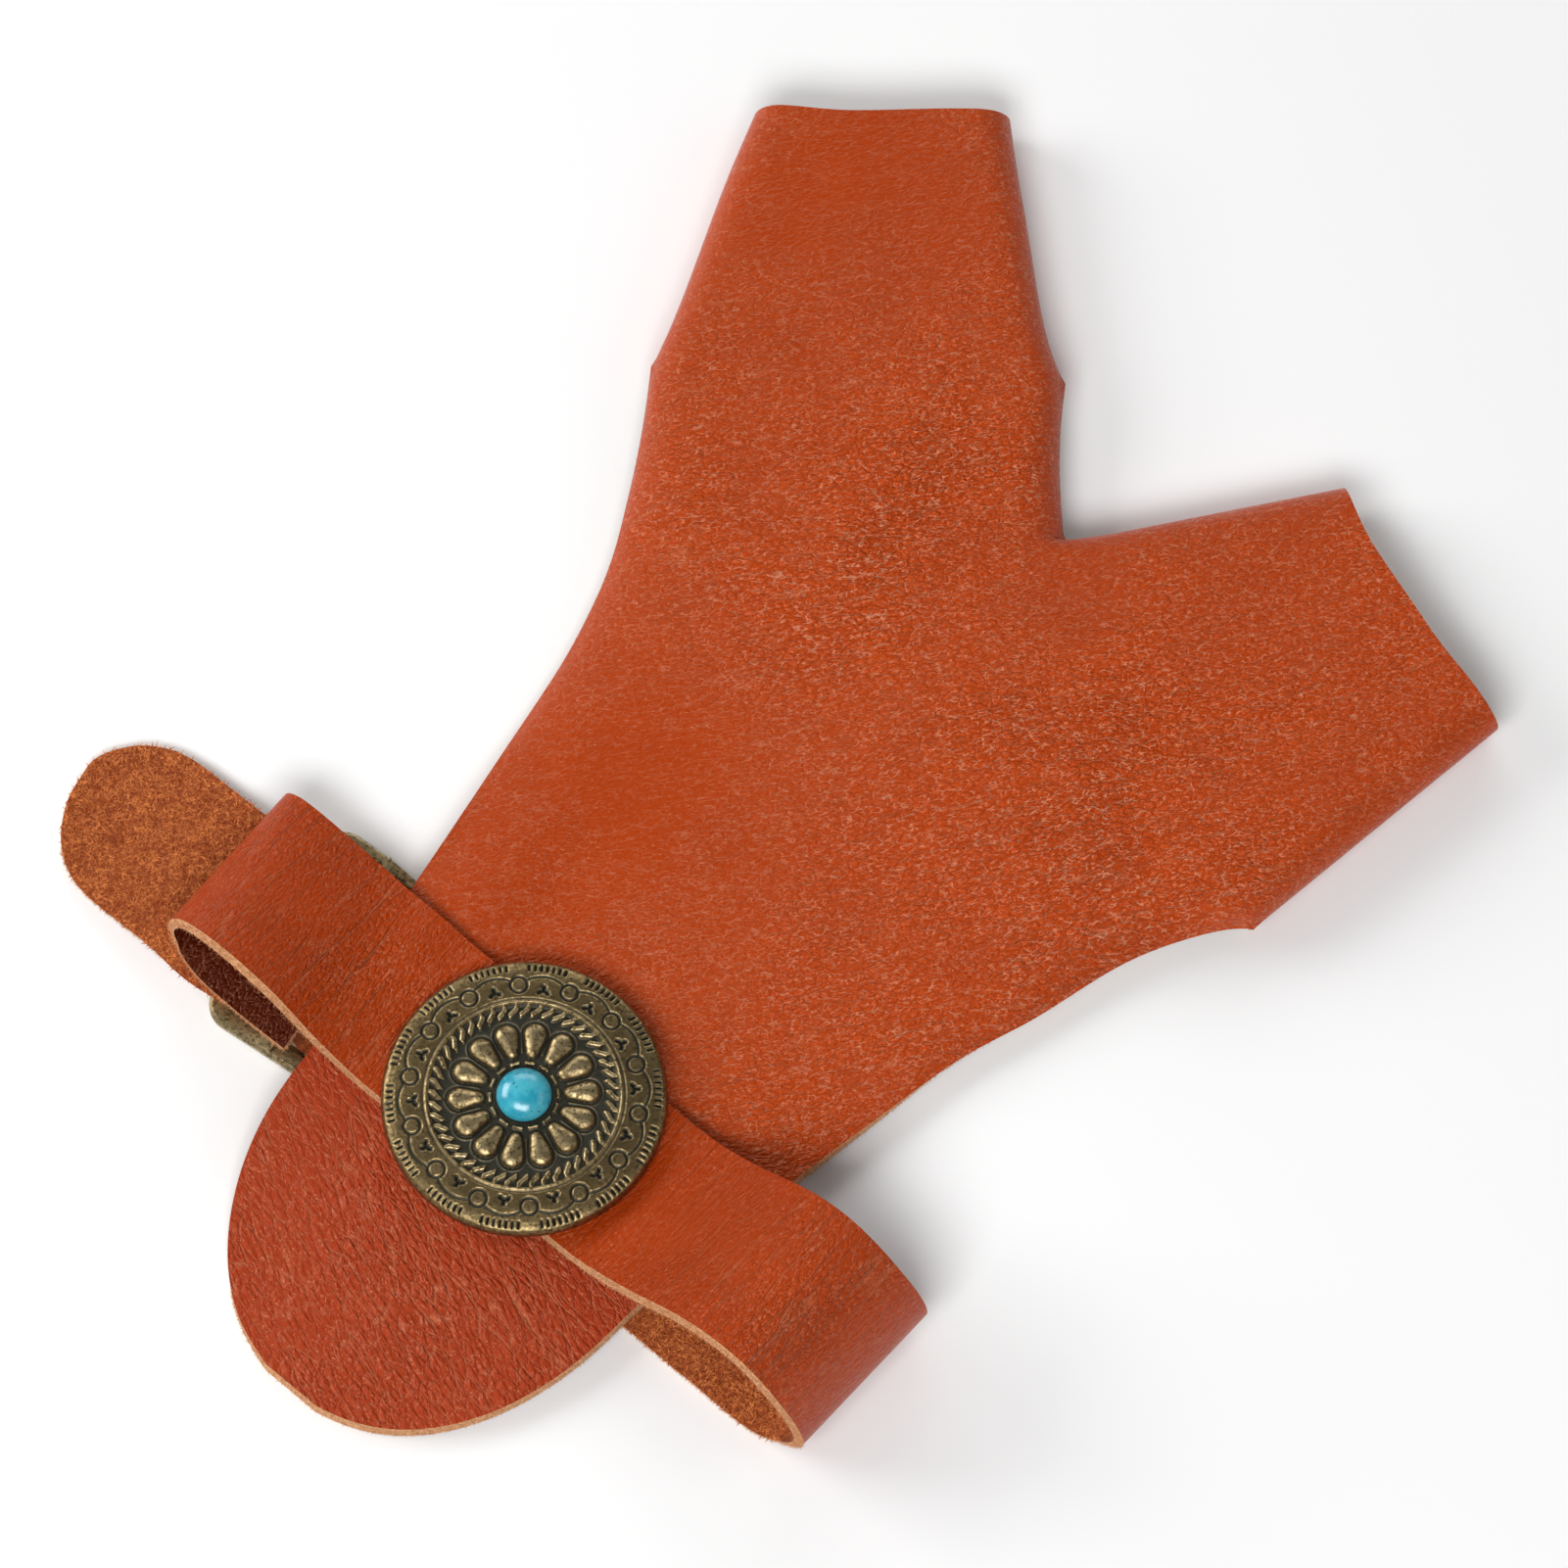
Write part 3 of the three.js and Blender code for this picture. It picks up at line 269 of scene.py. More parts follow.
def leather_material(name, base, bright, deep, pebble_mm, pebble_height, turns, crease_height,
                     dash, fold_reach=1.0):
    material, tree, shader = new_material(name, {
        "Roughness": 0.3, "IOR": 1.5, "Specular IOR Level": 0.36, "Specular Tint": "#FFCBA0"})
    grain, slack = (node(tree, "ShaderNodeAttribute", attribute_name=number).outputs["Fac"]
                    for number in ("grain", "slack"))
    patches = node(tree, "ShaderNodeMapRange", {
        "Value": blots(tree, PATCH_MM, 3.0), "From Min": 0.35, "From Max": 0.65, "To Min": 0.65,
        "To Max": 1.0}, interpolation_type="SMOOTHSTEP")
    strength = node(tree, "ShaderNodeMath", {0: patches, 1: grain}, operation="MULTIPLY")

    cells = laid_out(tree, pebble_mm, PEBBLE_SHAPE, turns, PEBBLE_WARP)
    domes = from_edge(tree, cells, 1.0, 0.0, 0.38)
    pebbles = node(tree, "ShaderNodeMath", {0: domes, 1: 0.7}, operation="POWER")
    wrinkles = from_edge(tree, cells, 2.2, 0.0, 0.3)
    surface = node(tree, "ShaderNodeMix", {0: 0.25, 2: pebbles, 3: wrinkles}, data_type="FLOAT")
    long_cells = laid_out(tree, FOLD_MM, (fold_reach, FOLD_WIDTH, 1.0), turns, FOLD_WARP)
    folds = node(tree, "ShaderNodeMath", {
        0: broken_lines(tree, long_cells, 1.0, 0.0, 0.075, 1.0, 0.5, 0.42, 0.6), 1: strength},
        operation="MULTIPLY")
    grained = node(tree, "ShaderNodeMath", {0: surface, 1: strength}, operation="MULTIPLY")
    creased = node(tree, "ShaderNodeMath", {0: folds, 1: -crease_height, 2: grained},
                   operation="MULTIPLY_ADD")
    relief = node(tree, "ShaderNodeMath", {
        0: blots(tree, SWELL_MM, 2.0, 0.4), 1: SWELL_HEIGHT / pebble_height, 2: creased},
        operation="MULTIPLY_ADD")

    normal = node(tree, "ShaderNodeNewGeometry").outputs["Normal"]
    upward = node(tree, "ShaderNodeMath", {
        0: node(tree, "ShaderNodeSeparateXYZ", {0: normal}).outputs["Z"]}, operation="ABSOLUTE")
    colour = stain(tree, strength, 0.35, 1.1, base, bright, 0.8)
    colour = stain(tree, blots(tree, MOTTLE_MM, 4.0, 0.6), 0.3, 0.7, colour, deep, 0.3)
    colour = stain(tree, slack, 0.0, 1.0, colour, SLACK_RED, 0.8, "LINEAR")
    colour = stain(tree, upward, 0.96, 0.5, colour, bright, 0.35)
    hollow = node(tree, "ShaderNodeMath", {0: 1.0, 1: pebbles}, operation="SUBTRACT")
    valleys = node(tree, "ShaderNodeMath", {0: hollow, 1: strength}, operation="MULTIPLY")
    shaded = node(tree, "ShaderNodeMath", {0: valleys, 1: slack}, operation="MULTIPLY")
    # Painted shade: the valleys of the slack grain are darkened.
    colour = stain(tree, shaded, 0.0, 2.0, colour, VALLEY_SHADE_BROWN, 0.6, "LINEAR")
    lines = broken_lines(tree, cells, 1.25, 0.02, 0.12, 2.0, 0.7, 0.46, 0.6)
    dashes = node(tree, "ShaderNodeMath", {0: lines, 1: strength}, operation="MULTIPLY")
    bare = node(tree, "ShaderNodeMapRange", {"Value": slack, "To Min": dash, "To Max": dash / 4})
    dashes = node(tree, "ShaderNodeMath", {0: dashes, 1: bare}, operation="MULTIPLY")
    colour = stain(tree, dashes, 0.0, 1.0, colour, DASH_TAN, 1.0, "LINEAR")
    # Painted highlight: the crests of the folds are lightened.
    colour = stain(tree, folds, 0.0, 2.0, colour, FOLD_HIGHLIGHT_TAN, 0.4, "LINEAR")
    dress(material, shader, colour, relief, pebble_height)
    return material


# %% Three leathers
STRAP_CREASES = (STRAP_DIRECTION + pi / 2, STRAP_DIRECTION + pi / 2)
glove_grain = leather_material(
    "pebbled_cowhide", "#AB3C10", "#C3450C", "#9E3610", pebble_mm=0.85, pebble_height=0.32,
    turns=(radians(12), radians(-60)), crease_height=0.5, dash=0.42)
strap_grain = leather_material(
    "strap_cowhide", "#A43606", "#B23C06", "#8E2E0A", pebble_mm=0.8, pebble_height=0.3,
    turns=STRAP_CREASES, crease_height=0.9, dash=0.18, fold_reach=3.2)
# Painted shade: a near-black grain that stands for the deep shade inside the strap's left loop.
loop_shade_grain = leather_material(
    "loop_shade_cowhide", "#4C1406", "#4C1406", "#380E05", pebble_mm=0.8, pebble_height=0.3,
    turns=STRAP_CREASES, crease_height=0.3, dash=0.0)

# %% [markdown]
# ## Suede and the raw edge
# The inside is the hide's flesh side, split and buffed to a loose nap, so it is matt, mottled and
# warmer than the grain. Where the sheet is cut, the undyed middle of the hide shows as a tan line
# of loose fibres. Real fibres are finer than a pixel, so the pattern is drawn coarse enough to
# show.

# %% Suede and raw edge
def fibre_material(name, dark, light, fibre_mm, height, roughness):
    material, tree, shader = new_material(name, {
        "Roughness": roughness, "Sheen Weight": 0.08, "Sheen Roughness": 0.6,
        "Specular IOR Level": 0.2})
    fine, clumps = blots(tree, fibre_mm, 4.0, 0.7), blots(tree, fibre_mm * 3, 3.0, 0.6)
    pile = node(tree, "ShaderNodeMix", {0: 0.3, 2: fine, 3: clumps}, data_type="FLOAT")
    dress(material, shader, stain(tree, pile, 0.36, 0.66, dark, light), pile, height)
    return material


suede = fibre_material("flesh_side_suede", "#78300C", "#B05A24", 0.35, 0.25, 0.95)
nap = fibre_material("suede_nap", "#983C0E", "#E28A48", 0.7, 0.02, 0.85)
raw_edge = fibre_material("raw_cut_edge", "#BE7F4E", "#E6B486", 0.25, 0.2, 0.85)

# %% [markdown]
# ## Antique brass and turquoise
# The concho and the buckle are cast alloy, plated with brass, darkened in a patina bath and then
# rubbed, so the high places are bright and the low ones stay nearly black. The stone is a
# polished cabochon of turquoise with specks of dark matrix.

# %% Brass and stone
def brass_material():
    """Reads two numbers from the mesh: how much patina a place kept, and how rubbed it is."""
    material, tree, shader = new_material("antique_brass", {"Metallic": 1.0})
    kept, worn = (node(tree, "ShaderNodeAttribute", attribute_name=number).outputs["Fac"]
                  for number in ("patina", "rubbed"))
    grime = blots(tree, 0.6, 5.0, 0.75)
    colour = stain(tree, grime, 0.42, 0.66, "#A08A60", "#4A3D28")
    colour = stain(tree, blots(tree, 4.0, 4.0, 0.65), 0.35, 0.7, colour, "#66573C", 0.5)
    clean = node(tree, "ShaderNodeMapRange", {
        "Value": grime, "From Min": 0.62, "From Max": 0.42}, interpolation_type="SMOOTHSTEP")
    shine = node(tree, "ShaderNodeMath", {0: worn, 1: clean}, operation="MULTIPLY")
    colour = stain(tree, shine, 0.0, 1.0, colour, "#CDB98E", 1.0, "LINEAR")
    colour = stain(tree, kept, 0.0, 0.7, colour, "#46453C")
    colour = stain(tree, kept, 0.72, 1.0, colour, "#1B1811")
    pitted = node(tree, "ShaderNodeMapRange", {
        "Value": grime, "From Min": 0.35, "From Max": 0.7, "To Min": 0.3, "To Max": 0.5},
        interpolation_type="SMOOTHSTEP")
    rough = node(tree, "ShaderNodeMath", {0: kept, 1: 0.2, 2: pitted}, operation="MULTIPLY_ADD")
    tree.links.new(in_use(rough), shader.inputs["Roughness"])
    dress(material, shader, colour, grime, 0.055)
    return material


def turquoise_material():
    material, tree, shader = new_material("polished_turquoise", {
        "Roughness": 0.24, "IOR": 1.6, "Coat Weight": 0.3, "Coat Roughness": 0.12})
    colour = stain(tree, blots(tree, 2.2, 4.0, 0.6), 0.35, 0.65, "#1F97B0", "#46B0C2")
    veins = blots(tree, 1.3, 5.0, 0.65, noise_type="RIDGED_MULTIFRACTAL")
    colour = stain(tree, veins, 1.25, 1.7, colour, "#1B5566", 0.6)
    colour = stain(tree, blots(tree, 0.5, 3.0, 0.6), 0.62, 0.7, colour, "#3A3B34", 0.7)
    dress(material, shader, colour)
    return material


brass = brass_material()
turquoise = turquoise_material()

# %% [markdown]
# ## The glove's leather
# The frame's node already has the true folds, so the piece is a copy of it. The copy's triangles
# are merged into one skin and joined into quads. Its sharp edges run round the raw cut, and they
# part it into grain side, flesh side and rim. They are creased, so that a subdivision surface
# rounds the folds and keeps the cut crisp. A shear cuts leather at a slight slant, so the rim's
# lower edge leans out and shows its tan from above.

# %% Leather copies
GRAIN, FLESH, RIM, SHADED_INSIDE = 0, 1, 2, 3
EDGE_LEAN = 0.55  # mm
SHARP = radians(58)


def islands(mesh):
    """Groups of faces that no seam parts, the largest first."""
    found, seen = [], set()
    for start in mesh.faces:
        if start in seen:
            continue
        seen.add(start)
        stack, group = [start], []
        while stack:
            face = stack.pop()
            group.append(face)
            for edge in face.edges:
                if edge.seam:
                    continue
                for other in edge.link_faces:
                    if other not in seen:
                        seen.add(other)
                        stack.append(other)
        found.append(group)
    return sorted(found, key=len, reverse=True)


def leather_piece(cad_name, name, materials, levels, reshape=None):
    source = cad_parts[cad_name]
    piece = bpy.data.objects.new(name, source.data.copy())
    bpy.context.scene.collection.objects.link(piece)
    piece.data.materials.clear()
    for material in materials:
        piece.data.materials.append(material)
    select_only(piece)
    bpy.ops.mesh.customdata_custom_splitnormals_clear()
    edit(piece, "EDGE")
    bpy.ops.mesh.select_all(action="SELECT")
    bpy.ops.mesh.remove_doubles(threshold=0.01 * MM)
    bpy.ops.mesh.tris_convert_to_quads(face_threshold=radians(50), shape_threshold=radians(70))
    bpy.ops.mesh.select_all(action="DESELECT")
    bpy.ops.mesh.edges_select_sharp(sharpness=SHARP)
    bpy.ops.mesh.mark_seam()
    bpy.ops.transform.edge_crease(value=1.0)
    mesh = bmesh.from_edit_mesh(piece.data)
    sides = islands(mesh)
    highest = max(mesh.faces, key=lambda f: f.calc_center_median().z if f.normal.z > 0.5 else 0)
    for rank, group in enumerate(sides):
        kind = RIM if rank > 1 else (GRAIN if highest in group else FLESH)
        for face in group:
            face.material_index = kind
    print(name, "sides:", [len(g) for g in sides[:4]])
    for face in mesh.faces:
        if face.material_index == RIM and face.normal.y < 0:
            lean = EDGE_LEAN * MM * Vector((face.normal.x, face.normal.y, 0)) * -face.normal.y
            for point in face.verts:
                kinds = {other.material_index for other in point.link_faces}
                if FLESH in kinds and GRAIN not in kinds:
                    point.co += lean / 2
    if reshape:
        reshape(mesh)
    bmesh.update_edit_mesh(piece.data)
    leave(piece)
    finish_modifier(piece, "SUBSURF", levels=levels, render_levels=levels)
    select_only(piece)
    bpy.ops.object.shade_smooth_by_angle(angle=radians(50))
    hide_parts(cad_name)
    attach(piece, "root")
    return piece


glove = leather_piece("glove_body", "glove_leather", (glove_grain, suede, raw_edge), 2)

# %% [markdown]
# The strap's end that holds the buckle is turned back over the middle bar. Its upper side is
# grain, and it is the dark inside of the left loop: the near-black grain there is painted shade.
# In the photograph this end reaches to the tail and hangs a little over the buckle's side bar, so
# a few points of the coarse copy are moved before it is subdivided.

# %% The strap and its doubled end
# Along the strap from the concho's middle, across it, and above the table, all in mm
BUCKLE_RUN = (-52, -26)
END_PLACE, END_HEIGHTS = (-34.9, -33.4), (3.1, 5.7)
END_GROWTH, END_SLANT = 4.6, 0.16
NEAR_EDGE, OVERHANG, TOP_PLY = -12, 1.3, 6.6
UPPER_FACES = 4.6


def finish_doubled_end(mesh):
    """Lets the end reach the tail and hang over the side bar, and paints the loop's shade dark.
    """
    start, stop = BUCKLE_RUN
    for point in mesh.verts:
        along, across = strap_place(point.co)
        height = point.co.z / MM
        if END_PLACE[0] < along < END_PLACE[1] and END_HEIGHTS[0] < height < END_HEIGHTS[1]:
            point.co += ALONG * (END_GROWTH - END_SLANT * (across - NEAR_EDGE)) * MM
        if start < along < stop and END_HEIGHTS[0] < height < TOP_PLY and across < NEAR_EDGE:
            point.co -= ACROSS * min(OVERHANG, (along - start) / 6, (stop - along) / 3) * MM
    for face in mesh.faces:
        middle = face.calc_center_median()
        upward = face.material_index == FLESH and face.normal.z > 0.2
        if upward and start < strap_place(middle)[0] < stop and middle.z > UPPER_FACES * MM:
            # Painted shade: the upward faces inside the loop get the near-black grain.
            face.material_index = SHADED_INSIDE


strap_leathers = (strap_grain, suede, raw_edge, loop_shade_grain)
strap = leather_piece("wrist_strap", "strap_leather", strap_leathers, 3, finish_doubled_end)

# %% [markdown]
# ## Where the hide is loose and where it is tight
# A hide's belly has a loose, coarse grain and its back a tight, even one. The glove was cut
# across both: the middle of the panel and the thumb's root are strongly pebbled, the left side
# and the index mouth are smooth, and the tail is coarse. A short table of soft spots says so, and
# its sum is kept on the mesh, where the leather's material reads it.

# %% Grain tables
# x and y in mm from the glove's middle, radius in mm, change of strength
GLOVE_SPOTS = (
    (-24, -2, 32, -0.55), (7, 84, 24, -0.55), (38, 24, 13, -0.4), (58, 34, 15, -0.35),
    (10, 26, 20, 0.5), (24, 42, 16, 0.35), (46, -10, 24, 0.55), (62, 20, 22, 0.3),
    (-4, -28, 16, 0.1), (-48, -74, 28, 0.5))
# along and across the strap in mm from the concho's middle, radius, change of strength
STRAP_SPOTS = (
    (26, 0, 12, -0.5), (43, 0, 10, 0.5), (60, 0, 8, -0.3), (-26, 0, 9, 0.4), (-40, 0, 8, -0.35))

USUAL_STRENGTH, STRENGTH_LIMITS = 0.85, (0.08, 1.6)


def keep_number(piece, name, values):
    attribute = piece.data.attributes.new(name, "FLOAT", "POINT")
    attribute.data.foreach_set("value", np.asarray(values, dtype=np.float32))


def points_in_mm(piece):
    flat = np.empty(len(piece.data.vertices) * 3)
    piece.data.vertices.foreach_get("co", flat)
    return flat.reshape(-1, 3) / MM


def grain_strength(first, second, spots):
    strength = np.full(len(first), USUAL_STRENGTH)
    for x, y, radius, change in spots:
        strength += change * np.exp(-((first - x) ** 2 + (second - y) ** 2) / radius ** 2)
    return np.clip(strength, *STRENGTH_LIMITS)


def strap_places(points):
    offset = points - np.array(CONCHO_MIDDLE) / MM
    return offset @ np.array(ALONG), offset @ np.array(ACROSS)


glove_points = points_in_mm(glove)
keep_number(glove, "grain", grain_strength(glove_points[:, 0], glove_points[:, 1], GLOVE_SPOTS))
keep_number(glove, "slack", strap_places(glove_points)[1] < 0)
strap_along, strap_across = strap_places(points_in_mm(strap))
keep_number(strap, "grain", grain_strength(strap_along, strap_across, STRAP_SPOTS))
keep_number(strap, "slack", np.zeros(len(strap_along)))
print("slack share of the glove:", round(float(np.mean(strap_places(glove_points)[1] < 0)), 2))

# %% [markdown]
# ## Nap and frayed edges
# Suede is all loose fibre ends, and a cut edge frays into short threads. A pattern alone looks
# printed on where the light rakes it, so the places that show get real fibres: Geometry Nodes
# scatters points on the chosen faces, stands one thin three-sided spike on each, lays it over at
# random, and makes them one mesh. They are half a millimetre to one millimetre long, and none
# goes below the table. Real ones are finer than a pixel, so these are drawn as thick as they need
# to show.

# %% Fibres
def chosen_faces(piece, name, wanted):
    """A copy of the piece with only the faces that are wanted."""
    copy = bpy.data.objects.new(name, piece.data.copy())
    bpy.context.scene.collection.objects.link(copy)
    mesh = edit(copy)
    for face in mesh.faces:
        face.select = not wanted(face)
    bmesh.update_edit_mesh(copy.data)
    bpy.ops.mesh.delete(type="FACE")
    leave(copy)
    return copy


TABLE_GAP = 0.05 * MM


def grow_fibres(bed, per_mm2, length_mm, width_mm, tilt, finish, seed):
    tree = bpy.data.node_groups.new("fibres", "GeometryNodeTree")
    tree.interface.new_socket("Geometry", in_out="INPUT", socket_type="NodeSocketGeometry")
    tree.interface.new_socket("Geometry", in_out="OUTPUT", socket_type="NodeSocketGeometry")
    faces = node(tree, "NodeGroupInput").outputs[0]
    points = node(tree, "GeometryNodeDistributePointsOnFaces", {
        "Mesh": faces, "Density": per_mm2 * 1e6, "Seed": seed})
    spike = node(tree, "GeometryNodeMeshCone", {
        "Vertices": 3, "Radius Top": 0.0, "Radius Bottom": width_mm / 2 * MM,
        "Depth": length_mm * MM})
    lean = node(tree, "FunctionNodeRandomValue", {
        0: (radians(tilt[0]), 0, 0), 1: (radians(tilt[1]), 0, 2 * pi), "Seed": seed + 1},
        data_type="FLOAT_VECTOR")
    turned = node(tree, "FunctionNodeRotateRotation", {
        "Rotation": points.outputs["Rotation"], "Rotate By": lean}, rotation_space="LOCAL")
    size = node(tree, "FunctionNodeRandomValue", {2: 0.5, 3: 1.2, "Seed": seed + 2},
                data_type="FLOAT")
    stood = node(tree, "GeometryNodeInstanceOnPoints", {
        "Points": points.outputs["Points"], "Instance": spike, "Rotation": turned, "Scale": size})
    whole = node(tree, "GeometryNodeRealizeInstances", {"Geometry": stood})
    dyed = node(tree, "GeometryNodeSetMaterial", {"Geometry": whole, "Material": finish})
    node(tree, "NodeGroupOutput", {0: dyed})
    finish_modifier(bed, "NODES", node_group=tree)
    for point in bed.data.vertices:
        point.co.z = max(point.co.z, TABLE_GAP)
    bed.data.materials.clear()
    bed.data.materials.append(finish)
    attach(bed, "root")
    print(bed.name, len(bed.data.polygons), "faces")


TAB_START, TAB_TOP, LOOP_START = -40, 4.3, 18  # mm


def on_tab_or_loop(face):
    """The tab's flesh side, and that of the strap's lower run under the right loop."""
    middle = face.calc_center_median()
    along = strap_place(middle)[0]
    on_tab = along < TAB_START and middle.z < TAB_TOP * MM
    lies_up = face.material_index == FLESH and face.normal.z > 0.75
    return lies_up and (on_tab or along > LOOP_START)


def near_cut(face):
    """The cut edges that face the reader."""
    return face.material_index == RIM and face.normal.y < -0.2 and face.normal.z > -0.5


strap_nap = chosen_faces(strap, "strap_nap", on_tab_or_loop)
grow_fibres(strap_nap, 14, 0.85, 0.22, (66, 88), nap, 4)
strap_fray = chosen_faces(strap, "strap_fray", near_cut)
grow_fibres(strap_fray, 22, 0.6, 0.09, (20, 80), raw_edge, 8)
glove_fray = chosen_faces(glove, "glove_fray", near_cut)
grow_fibres(glove_fray, 14, 0.45, 0.09, (20, 85), raw_edge, 12)

# %% [markdown]
# ## The concho's blank
# A concho is struck, not carved: a disc is cut from brass, domed and rolled at its edge, and then
# a steel die presses the pattern into it. So the blank comes first. Its section is a chain of
# points, extruded one by one and spun round the middle. Rings and steps lie about 0.13 mm apart,
# which is half the width of the die's finest line.

# %% Concho blank
CONCHO_RADIUS = (concho_high.x - concho_low.x) / 2 / MM
CONCHO_STEPS = 720
RING_PITCH = 0.132
DISH_RADIUS = 12.85
STONE_SEAT = 3.9


def blank_height(radius):
    """Height of the unstamped disc above its flat back, in mm."""
    return np.interp(
        radius,
        (0, DISH_RADIUS - 0.6, DISH_RADIUS - 0.1, DISH_RADIUS + 0.15, 15.5, 17.3, 18.0, 18.4,
         18.65),
        (2.0, 2.05, 2.55, 2.6, 2.42, 2.16, 1.98, 1.74, 1.42))


def spun(name, section, steps, middle):
    """Extrudes a vertex along a section of (radius, height) in mm and spins it round the middle.

    A sixteenth is spun, then doubled four times, because a long spin is slow."""
    bpy.ops.object.select_all(action="DESELECT")
    first = Vector((section[0][0], 0, section[0][1])) * MM
    bpy.ops.mesh.primitive_plane_add(size=MM, location=middle + first)
    piece = bpy.context.object
    piece.name = name
    settle(piece)
    edit(piece, "VERT")
    bpy.ops.mesh.select_all(action="SELECT")
    bpy.ops.mesh.merge(type="CENTER")
    for (r0, z0), (r1, z1) in zip(section, section[1:]):
        step = Vector((r1 - r0, 0, z1 - z0)) * MM
        bpy.ops.mesh.extrude_region_move(TRANSFORM_OT_translate={"value": step})
    bpy.ops.mesh.select_all(action="SELECT")
    turn = 2 * pi / 16
    bpy.ops.mesh.spin(steps=steps // 16, angle=turn, center=middle, axis=(0, 0, 1))
    for doubling in range(4):
        bpy.ops.mesh.select_all(action="SELECT")
        bpy.ops.mesh.duplicate()
        bpy.ops.transform.rotate(value=turn * 2 ** doubling, orient_axis="Z",
                                 center_override=middle)
    bpy.ops.mesh.select_all(action="SELECT")
    bpy.ops.mesh.remove_doubles(threshold=0.002 * MM)
    bpy.ops.mesh.normals_make_consistent(inside=False)
    leave(piece)
    return piece


concho_back = Vector((CONCHO_MIDDLE.x, CONCHO_MIDDLE.y, concho_low.z))
face_radii = np.arange(STONE_SEAT, 18.6, RING_PITCH)
face_section = [(float(r), float(blank_height(r))) for r in face_radii]
rolled_edge = [(18.78, 1.1), (CONCHO_RADIUS, 0.75), (18.78, 0.35), (18.4, 0.06), (17.6, 0.0)]
section = [(0.0, 2.0), *face_section, *rolled_edge, (0.0, 0.0)]
concho = spun("concho", section, CONCHO_STEPS, concho_back)

# %% [markdown]
# ## The die's pattern
# The pattern is a common rosette: fourteen petals round the stone, a ring of rope, and a border
# of circles, scallops, small clovers and radial nicks. Each motif is a distance: how far a point
# of the disc lies from the motif's line. Distances turn into two soft weights, how far the die
# lets the metal rise and how far it presses it down, and two Displace modifiers move the blank by
# them. A groove pressed this way has rounded sides, as a struck one has.

# %% Sizes of the motifs
# Places, starts and ends are radii from the concho's middle, in mm. A rise is a share of the
# petals' height, and a depth is a share of the stamp's depth.
PETALS, PETAL_TURN = 14, radians(80.4)
SECTOR = 2 * pi / PETALS
PETAL_HEIGHT, STAMP_DEPTH = 0.82, 0.3
PETAL_INNER, PETAL_OUTER = 6.0, 8.5
PETAL_TIP, PETAL_HEAD, PETAL_ROUNDING = 0.88, 1.55, 1.5
RIM_GAP, RIM_WIDTH, RIM_END, RIM_RISE = 0.42, 0.3, 10.7, 0.16
DASH_PLACE, DASH_REACH, DASH_WIDTH, DASH_RISE = 4.45, 0.48, 0.56, 0.42
ROPE_STRANDS, STRAND_LEAN, STRAND_WIDTH, STRAND_RISE = 48, 0.55, 0.86, 0.5
STRAND_START, STRAND_END = 11.1, 12.1
RING_WIDTH, RING_RISE = 0.34, 0.14
GROOVE_GAP, GROOVE_WIDTH, GROOVE_DEPTH = 0.42, 0.42, 0.5
BORDER_GAP = 0.3
CIRCLE_PLACE, CIRCLE_RADIUS, CIRCLE_WIDTH, CIRCLE_DEPTH = 15.25, 1.12, 0.52, 0.9
DOT_RADIUS = 0.8
SCALLOP_TOP, SCALLOP_DROP, SCALLOP_SWING = 16.55, 0.75, radians(9.5)
SCALLOP_WIDTH, SCALLOP_DEPTH = 0.5, 0.8
NICK_START, NICK_END, NICK_WIDTH = 17.3, 18.0, 0.46
NICK_GAP, NICKS_A_SIDE = radians(2.65), 3
# Each leaf of a clover is a stroke: its start, its end and its width.
CLOVER_LEAVES = (
    ((-0.6, 14.2), (-0.35, 14.45), 0.8),
    ((0.6, 14.2), (0.35, 14.45), 0.8),
    ((0.0, 14.5), (0.0, 15.1), 0.85))

# %% Distances to the motifs


def sector_place(angle, radius, start, count=PETALS):
    """Place in the nearest of the repeated sectors: sideways and outwards, in mm."""
    sector = 2 * pi / count
    swing = (angle - start + sector / 2) % sector - sector / 2
    return radius * np.sin(swing), radius * np.cos(swing)


def to_stroke(x, y, start, end):
    """Distance from a straight stroke with round ends."""
    (x0, y0), (x1, y1) = start, end
    length = (x1 - x0) ** 2 + (y1 - y0) ** 2
    share = np.clip(((x - x0) * (x1 - x0) + (y - y0) * (y1 - y0)) / length, 0, 1)
    return np.hypot(x - x0 - share * (x1 - x0), y - y0 - share * (y1 - y0))


def to_petal(x, y):
    """Signed distance from a teardrop: two circles and the lines that touch both."""
    length = PETAL_OUTER - PETAL_INNER
    slope = (PETAL_TIP - PETAL_HEAD) / length
    level = np.sqrt(1 - slope ** 2)
    x, y = np.abs(x), y - PETAL_INNER
    share = -slope * x + level * y
    side = level * x + slope * y - PETAL_TIP
    beyond = np.where(share > level * length, np.hypot(x, y - length) - PETAL_HEAD, side)
    return np.where(share < 0, np.hypot(x, y) - PETAL_TIP, beyond)


def soft_line(distance, width):
    """1 on the line, falling to 0 at its half width."""
    return np.clip(1 - (distance / (width / 2)) ** 2, 0, 1)


# %% Stamp the concho
disc = points_in_mm(concho) - np.array(concho_back) / MM
radius, angle = np.hypot(disc[:, 0], disc[:, 1]), np.arctan2(disc[:, 1], disc[:, 0])
on_face = (disc[:, 2] > 0.9) & (radius > STONE_SEAT - 0.1)

